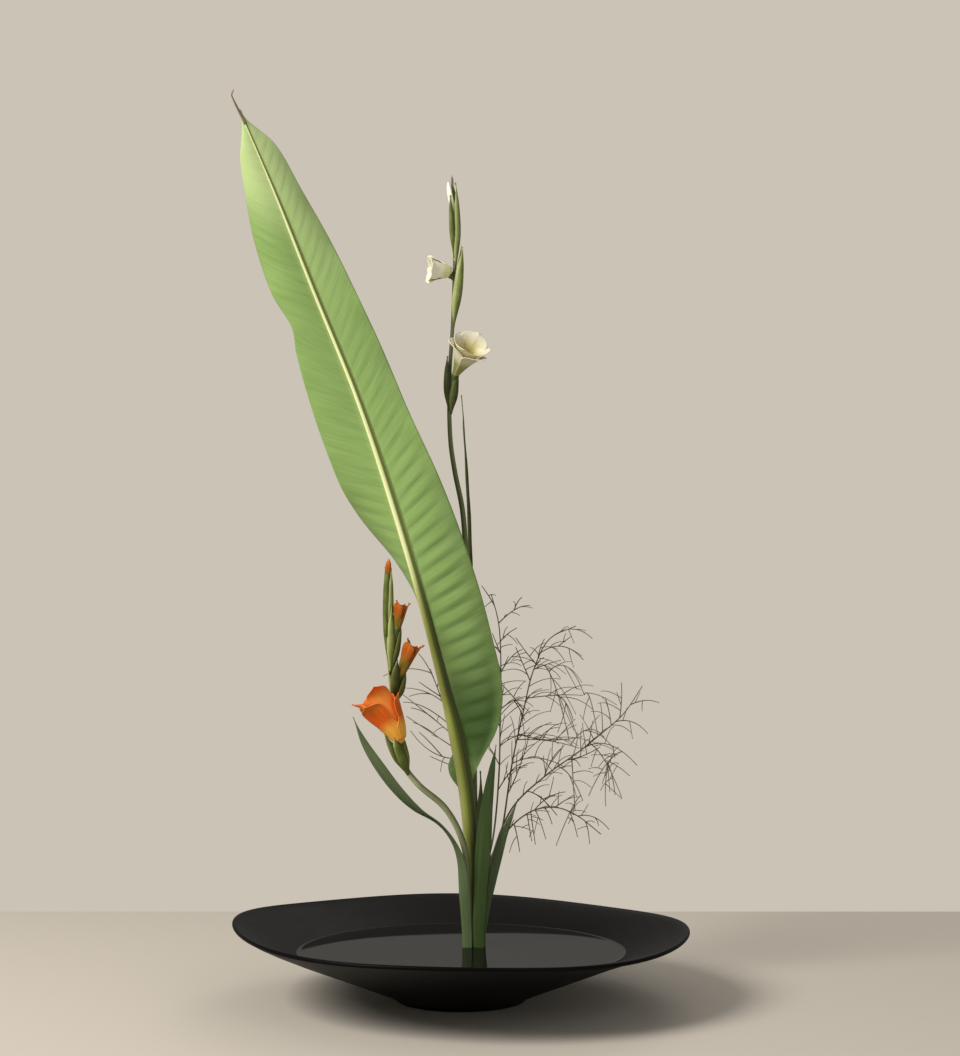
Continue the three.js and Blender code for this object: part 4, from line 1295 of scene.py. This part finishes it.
# Each spray: its stem's line, its branches, the distance between its fine twigs and a seed for
# them. A branch leaves the stem (0) or an earlier branch (1, 2, ...) at a share of its length. It
# ends at a tip, and its middle is lifted this far above a straight line.
SPRAYS = {
    "asparagus_spray_left": (
        [
            *standing(6.5, 47.2),
            (6, 54, 120),
            (2, 62, 180),
            (-6, 67, 215),
            (-16, 71, 250),
            (-30, 74, 288),
        ],
        [
            (0, 0.99, (-74, 79, 281), 4),
            (0, 0.96, (-41, 76, 302), 2),
            (0, 0.9, (-40, 66, 276), 0),
            (0, 0.88, (-56, 78, 270), 4),
            (0, 0.8, (-55, 72, 257), 5),
            (0, 0.77, (-56, 80, 264), 0),
            (0, 0.72, (-52, 74, 244), 1),
            (0, 0.68, (-48, 68, 231), -5),
            (0, 0.65, (-30, 74, 207), 1),
            (0, 0.84, (6, 60, 276), 2),
            (0, 0.94, (-12, 88, 300), 3),
            (4, 0.3, (-50, 84, 262), 2),
            (6, 0.3, (-48, 70, 252), 1),
            (7, 0.4, (-46, 80, 238), 2),
            (8, 0.3, (-40, 62, 230), 1),
        ],
        60,
        11,
    ),
    "asparagus_spray_middle": (
        [
            *standing(13.5, 47.2),
            (21, 56, 100),
            (29, 62, 137),
            (34, 68, 191),
            (35, 72, 230),
            (36, 76, 280),
            (34, 82, 330),
            (27, 86, 358),
        ],
        [
            (0, 0.91, (64, 92, 347), 4),
            (0, 0.86, (51, 84, 326), 1),
            (0, 0.83, (28, 80, 321), 0),
            (0, 0.96, (18, 92, 366), 1),
            (1, 0.45, (56, 84, 355), 1),
            (0, 0.78, (56, 66, 306), 3),
            (0, 0.74, (20, 84, 296), 3),
            (0, 0.68, (60, 82, 262), 2),
            (0, 0.64, (14, 60, 262), 4),
            (0, 0.58, (64, 64, 226), 4),
            (0, 0.53, (12, 78, 232), 4),
            (0, 0.47, (56, 84, 200), 5),
            (8, 0.5, (58, 70, 240), 2),
        ],
        8,
        23,
    ),
    "asparagus_spray_right": (
        [
            *standing(20.5, 47.2),
            (28, 54, 100),
            (38, 60, 148),
            (46, 68, 200),
            (56, 74, 245),
            (67, 80, 288),
            (82, 86, 316),
            (107, 92, 328),
        ],
        [
            (0, 0.86, (114, 92, 296), 9),
            (0, 0.84, (50, 82, 317), -2),
            (0, 0.79, (50, 88, 308), -1),
            (0, 0.85, (77, 80, 316), 1),
            (0, 0.82, (92, 74, 296), 0),
            (5, 0.4, (99, 70, 222), 10),
            (6, 0.2, (113, 66, 264), 16),
            (7, 1, (125, 62, 227), 14),
            (0, 0.74, (113, 84, 263), 1),
            (0, 0.62, (108, 62, 215), 3),
            (0, 0.64, (112, 80, 225), -2),
            (10, 0.85, (131, 60, 225), 12),
            (0, 0.47, (62, 56, 228), -3),
            (0, 0.55, (96, 84, 196), 6),
            (9, 0.5, (104, 92, 240), 4),
            (0, 0.93, (122, 84, 316), 6),
            (1, 0.4, (102, 86, 318), 0),
            (0, 0.7, (34, 84, 276), 1),
        ],
        7,
        37,
    ),
    "asparagus_spray_outer": (
        [
            *standing(17, 53.6),
            (26, 58, 110),
            (46, 64, 160),
            (78, 70, 190),
            (108, 74, 211),
            (132, 76, 230),
            (150, 76, 246),
            (168, 76, 272),
        ],
        [
            (0, 0.74, (163, 82, 198), 14),
            (0, 0.88, (149, 84, 275), 0),
            (0, 0.87, (172, 70, 228), 4),
            (0, 0.85, (134, 84, 261), 0),
            (1, 0.75, (117, 70, 171), 6),
            (0, 0.76, (147, 64, 170), 7),
            (5, 0.4, (132, 60, 162), 2),
            (5, 0.45, (142, 78, 171), 2),
            (0, 0.7, (105, 82, 156), 8),
            (0, 0.65, (111, 60, 167), 5),
            (0, 0.69, (129, 86, 215), -2),
            (10, 0.9, (86, 54, 127), 6),
            (0, 0.94, (184, 82, 256), 3),
            (0, 0.6, (92, 56, 216), 3),
            (6, 0.5, (154, 58, 190), 3),
            (0, 0.54, (88, 80, 152), 6),
        ],
        8,
        51,
    ),
    "asparagus_spray_low": (
        [
            *standing(10, 53.4),
            (15, 62, 85),
            (32, 70, 125),
            (50, 72, 147),
            (68, 72, 158),
            (88, 70, 160),
            (106, 68, 153),
            (128, 66, 136),
        ],
        [
            (0, 0.7, (96, 76, 174), 2),
            (0, 0.66, (64, 64, 130), 1),
            (0, 0.6, (53, 66, 120), 2),
            (0, 0.7, (77, 62, 132), 7),
            (0, 0.68, (68, 82, 125), 1),
            (0, 0.74, (83, 66, 145), 4),
            (0, 0.78, (104, 78, 171), -1),
            (0, 0.88, (135, 60, 141), 6),
            (0, 0.84, (106, 60, 134), 5),
            (0, 0.92, (118, 76, 126), 3),
        ],
        8,
        67,
    ),
}

# The place that the fine twigs of every spray turn in towards
SPRAY_HEART = Vector((84, 72, 240))

# The radius at the foot and at the tip of a spray's stem, its branches and its fine twigs
STEM_TAPER = (1.1, 0.42)
BRANCH_TAPER = (0.56, 0.36)
TWIG_TAPER = (0.42, 0.28)


def scattered(draw):
    return Vector((draw.uniform(-1, 1), draw.uniform(-1, 1), draw.uniform(-1, 1)))


def arched(start, tip, lift, count):
    """Places along a twig whose middle is lifted off the straight line to its tip."""
    return [
        start.lerp(tip, i / count) + lift * (1 - (2 * i / count - 1) ** 2)
        for i in range(count + 1)
    ]


def spray_twigs(line, branches, spacing, seed):
    """Every twig of a spray as its places and its taper. The fine twigs turn in towards the
    heart of the sprays, and the outer ends of the branches are bare."""
    draw = random.Random(seed)
    stem = Line(line)
    strands = [([stem.at(i / 60) for i in range(61)], STEM_TAPER)]
    for parent, share, tip, rise in branches:
        carrier = strands[parent][0]
        start = carrier[round(share * (len(carrier) - 1))]
        reach = (Vector(tip) - start).length
        lift = Vector((0, 0, rise)) + 0.04 * reach * scattered(draw)
        strands.append((arched(start, Vector(tip), lift, 20), BRANCH_TAPER))
    # The stretches that bear fine twigs: of the stem, and of every branch
    leafy = [(0.5, 0.87)] + [(0.1, 0.7)] * len(branches)
    fine = []
    for (places, _), stretch in zip(strands, leafy):
        first, last = (round(share * (len(places) - 1)) for share in stretch)
        count = round((places[last] - places[first]).length / spacing)
        for j in range(count):
            spot = first + round((last - first) * (j + 0.6 * draw.random()) / count)
            along = (places[spot + 1] - places[spot - 1]).normalized()
            side, back = frame_along(along)
            lean = side * (0.7 if j % 2 else -0.7) + 0.2 * back + 0.4 * scattered(draw)
            inward = SPRAY_HEART - places[spot]
            reach = draw.uniform(0.4, 1) * max(16, 52 - 0.4 * inward.length)
            tip = places[spot] + (along + lean + 0.7 * inward.normalized()).normalized() * reach
            tip.z -= 0.12 * reach
            lift = Vector((0, 0, 0.1 * reach)) + 0.06 * reach * scattered(draw)
            fine.append((arched(places[spot], tip, lift, 8), TWIG_TAPER))
    return strands + fine


def make_spray(node, twigs, finish):
    """The twigs are drawn as tubes and then become one mesh."""
    lines = bpy.data.curves.new(node + "_lines", "CURVE")
    lines.dimensions = "3D"
    lines.bevel_depth = MM
    lines.bevel_resolution = 1
    lines.use_fill_caps = True
    for places, (foot, tip) in twigs:
        strand = lines.splines.new("POLY")
        strand.points.add(len(places) - 1)
        for i, place in enumerate(places):
            strand.points[i].co = (*(place * MM), 1)
            strand.points[i].radius = foot + (tip - foot) * i / (len(places) - 1)
    drawn = bpy.data.objects.new(node + "_lines", lines)
    bpy.context.scene.collection.objects.link(drawn)
    mesh = bpy.data.meshes.new_from_object(
        drawn.evaluated_get(bpy.context.evaluated_depsgraph_get())
    )
    bpy.data.objects.remove(drawn)
    twigs = bmesh.new()
    twigs.from_mesh(mesh)
    bpy.data.meshes.remove(mesh)
    bmesh.ops.remove_doubles(twigs, verts=twigs.verts, dist=0.00001)
    bmesh.ops.scale(twigs, vec=(1 / MM, 1 / MM, 1 / MM), verts=twigs.verts)
    finished(node + "_twigs", twigs, node, [finish])


# ------------------------------------------------------------------ room, light and camera


def make_room():
    floor = new_mesh()
    bmesh.ops.create_grid(floor, x_segments=1, y_segments=1, size=0.8)
    bmesh.ops.translate(floor, vec=(0, -0.3, 0), verts=floor.verts)
    mesh = bpy.data.meshes.new("floor")
    floor.to_mesh(mesh)
    floor.free()
    ground = bpy.data.objects.new("floor", mesh)
    bpy.context.scene.collection.objects.link(ground)
    pale = Finish("pale_floor", {"Roughness": 0.8, "Specular IOR Level": 0.2})
    mesh.materials.append(pale.wear(base_color=colour(206, 198, 186)))

    world = bpy.data.worlds.new("soft_room")
    bpy.context.scene.world = world
    world.use_nodes = True
    tree = world.node_tree
    wall = tree.nodes["Background"]
    wall.inputs["Color"].default_value = colour(203, 195, 182)
    room = tree.nodes.new("ShaderNodeBackground")
    room.inputs["Color"].default_value = colour(214, 210, 202)
    room.inputs["Strength"].default_value = 0.42
    seen = tree.nodes.new("ShaderNodeLightPath")
    both = tree.nodes.new("ShaderNodeMixShader")
    tree.links.new(seen.outputs["Is Camera Ray"], both.inputs[0])
    tree.links.new(room.outputs[0], both.inputs[1])
    tree.links.new(wall.outputs[0], both.inputs[2])
    tree.links.new(both.outputs[0], tree.nodes["World Output"].inputs["Surface"])
    bpy.context.scene.view_settings.view_transform = "Standard"


def add_light(name, place, size, power, shade):
    lamp = bpy.data.lights.new(name, "AREA")
    lamp.shape = "DISK"
    lamp.size = size
    lamp.energy = power
    lamp.color = shade
    light = bpy.data.objects.new(name, lamp)
    light.location = place
    aim = Vector((0, 0, 0.35)) - Vector(place)
    light.rotation_euler = aim.to_track_quat("-Z", "Y").to_euler()
    bpy.context.scene.collection.objects.link(light)


def make_camera():
    lens = bpy.data.cameras.new("view")
    lens.lens = 59.14
    lens.sensor_width = 36
    camera = bpy.data.objects.new("view", lens)
    camera.location = (0.01644, -1.54817, 0.31007)
    camera.rotation_euler = (math.radians(90 + 3.859), 0, 0)
    bpy.context.scene.collection.objects.link(camera)
    bpy.context.scene.camera = camera


make_camera()
make_room()
add_light("window", (-1.7, -1.2, 1.7), size=1.2, power=66, shade=(1, 0.97, 0.92))
add_light("fill", (1.2, -1.8, 1.0), size=1.6, power=7, shade=(0.95, 0.97, 1))
add_light("back", (0.6, 1.6, 1.6), size=1.2, power=6, shade=(1, 0.98, 0.95))

make_bowl(glaze_finish())
make_water(water_finish())
make_holder(lead_finish(), brass_finish())
dried = dry_finish()
make_leaf(
    leaf_finish(
        "leaf_face",
        face=colour(152, 184, 108),
        vein=colour(204, 226, 156),
        darker_tone_and_pleat_shade=colour(126, 158, 84),
        painted_shade=colour(56, 90, 28),
        roughness=0.36,
    ),
    leaf_finish(
        "leaf_back",
        face=colour(160, 184, 126),
        vein=colour(198, 214, 148),
        darker_tone_and_pleat_shade=colour(124, 150, 92),
        painted_shade=colour(104, 128, 74),
        roughness=0.5,
    ),
    rib_finish(),
    dried,
)
bracts = [
    bract_finish(
        "bract", colour(126, 138, 66), colour(80, 90, 30), colour(196, 204, 134), colour(52, 60, 14)
    ),
    bract_finish(
        "sheath", colour(84, 92, 38), colour(44, 52, 12), colour(124, 136, 76), colour(32, 38, 6)
    ),
    dried,
]
make_orange_spike(
    [stem_finish("orange_spike_stem", colour(206, 212, 156), colour(44, 56, 12)), *bracts]
)
make_white_spike(
    [
        stem_finish("white_spike_stem", colour(124, 130, 84), colour(30, 34, 4), lit_side=0.95),
        *bracts,
    ]
)

anther = stem_finish("anther", colour(232, 216, 160), colour(206, 180, 120))
petals = {
    name: petal_finish(name, *[colour(*shade) for shade in shades], veins, reach)
    for name, (*shades, veins, reach) in PETALS.items()
}
white_outer = petals["white_petal_outer"]
closing = petals["white_petal_closing"]
shaded_orange_outer = petals["shaded_orange_petal_outer"]
white_petals = [petals["white_petal_inner"], white_outer, white_outer, anther]
closing_petals = [closing, closing, closing, anther]
orange_petals = [petals["orange_petal_" + side] for side in ("inner", "front", "outer")] + [anther]
shaded_orange_petals = [petals["shaded_orange_petal_inner"], shaded_orange_outer, shaded_orange_outer, anther]
WHITE_OPEN.make("open_white_bloom", "white_bloom_open", white_petals)
WHITE_HALF.make("half_open_white_bloom", "white_bloom_half_open", closing_petals)
ORANGE_OPEN.make("open_orange_bloom", "orange_bloom_open", orange_petals)
ORANGE_MIDDLE.make("middle_orange_bloom", "orange_bloom_middle", shaded_orange_petals)
ORANGE_UPPER.make("upper_orange_bloom", "orange_bloom_upper", shaded_orange_petals)
# Where each bud tip starts and ends, and its radius
white_tip = ((-8.8, 56, 714), (-13.6, 57, 744), 2.3)
orange_tip = ((-65.5, -15, 366), (-64, -16, 386), 2.7)
make_bud_tip("white_bud_petals", "white_bud_tip", "white_petal", *white_tip, closing)
make_bud_tip("orange_bud_petals", "orange_bud_tip", "orange_petal", *orange_tip, shaded_orange_outer)
make_sword_leaves(
    sword_finish("sword_blade", colour(124, 142, 96), colour(60, 78, 46)),
    sword_finish("shaded_sword_blade", colour(74, 98, 44), colour(30, 46, 14)),
)
twig_olive = twig_finish()
for node, spray in SPRAYS.items():
    make_spray(node, spray_twigs(*spray), twig_olive)
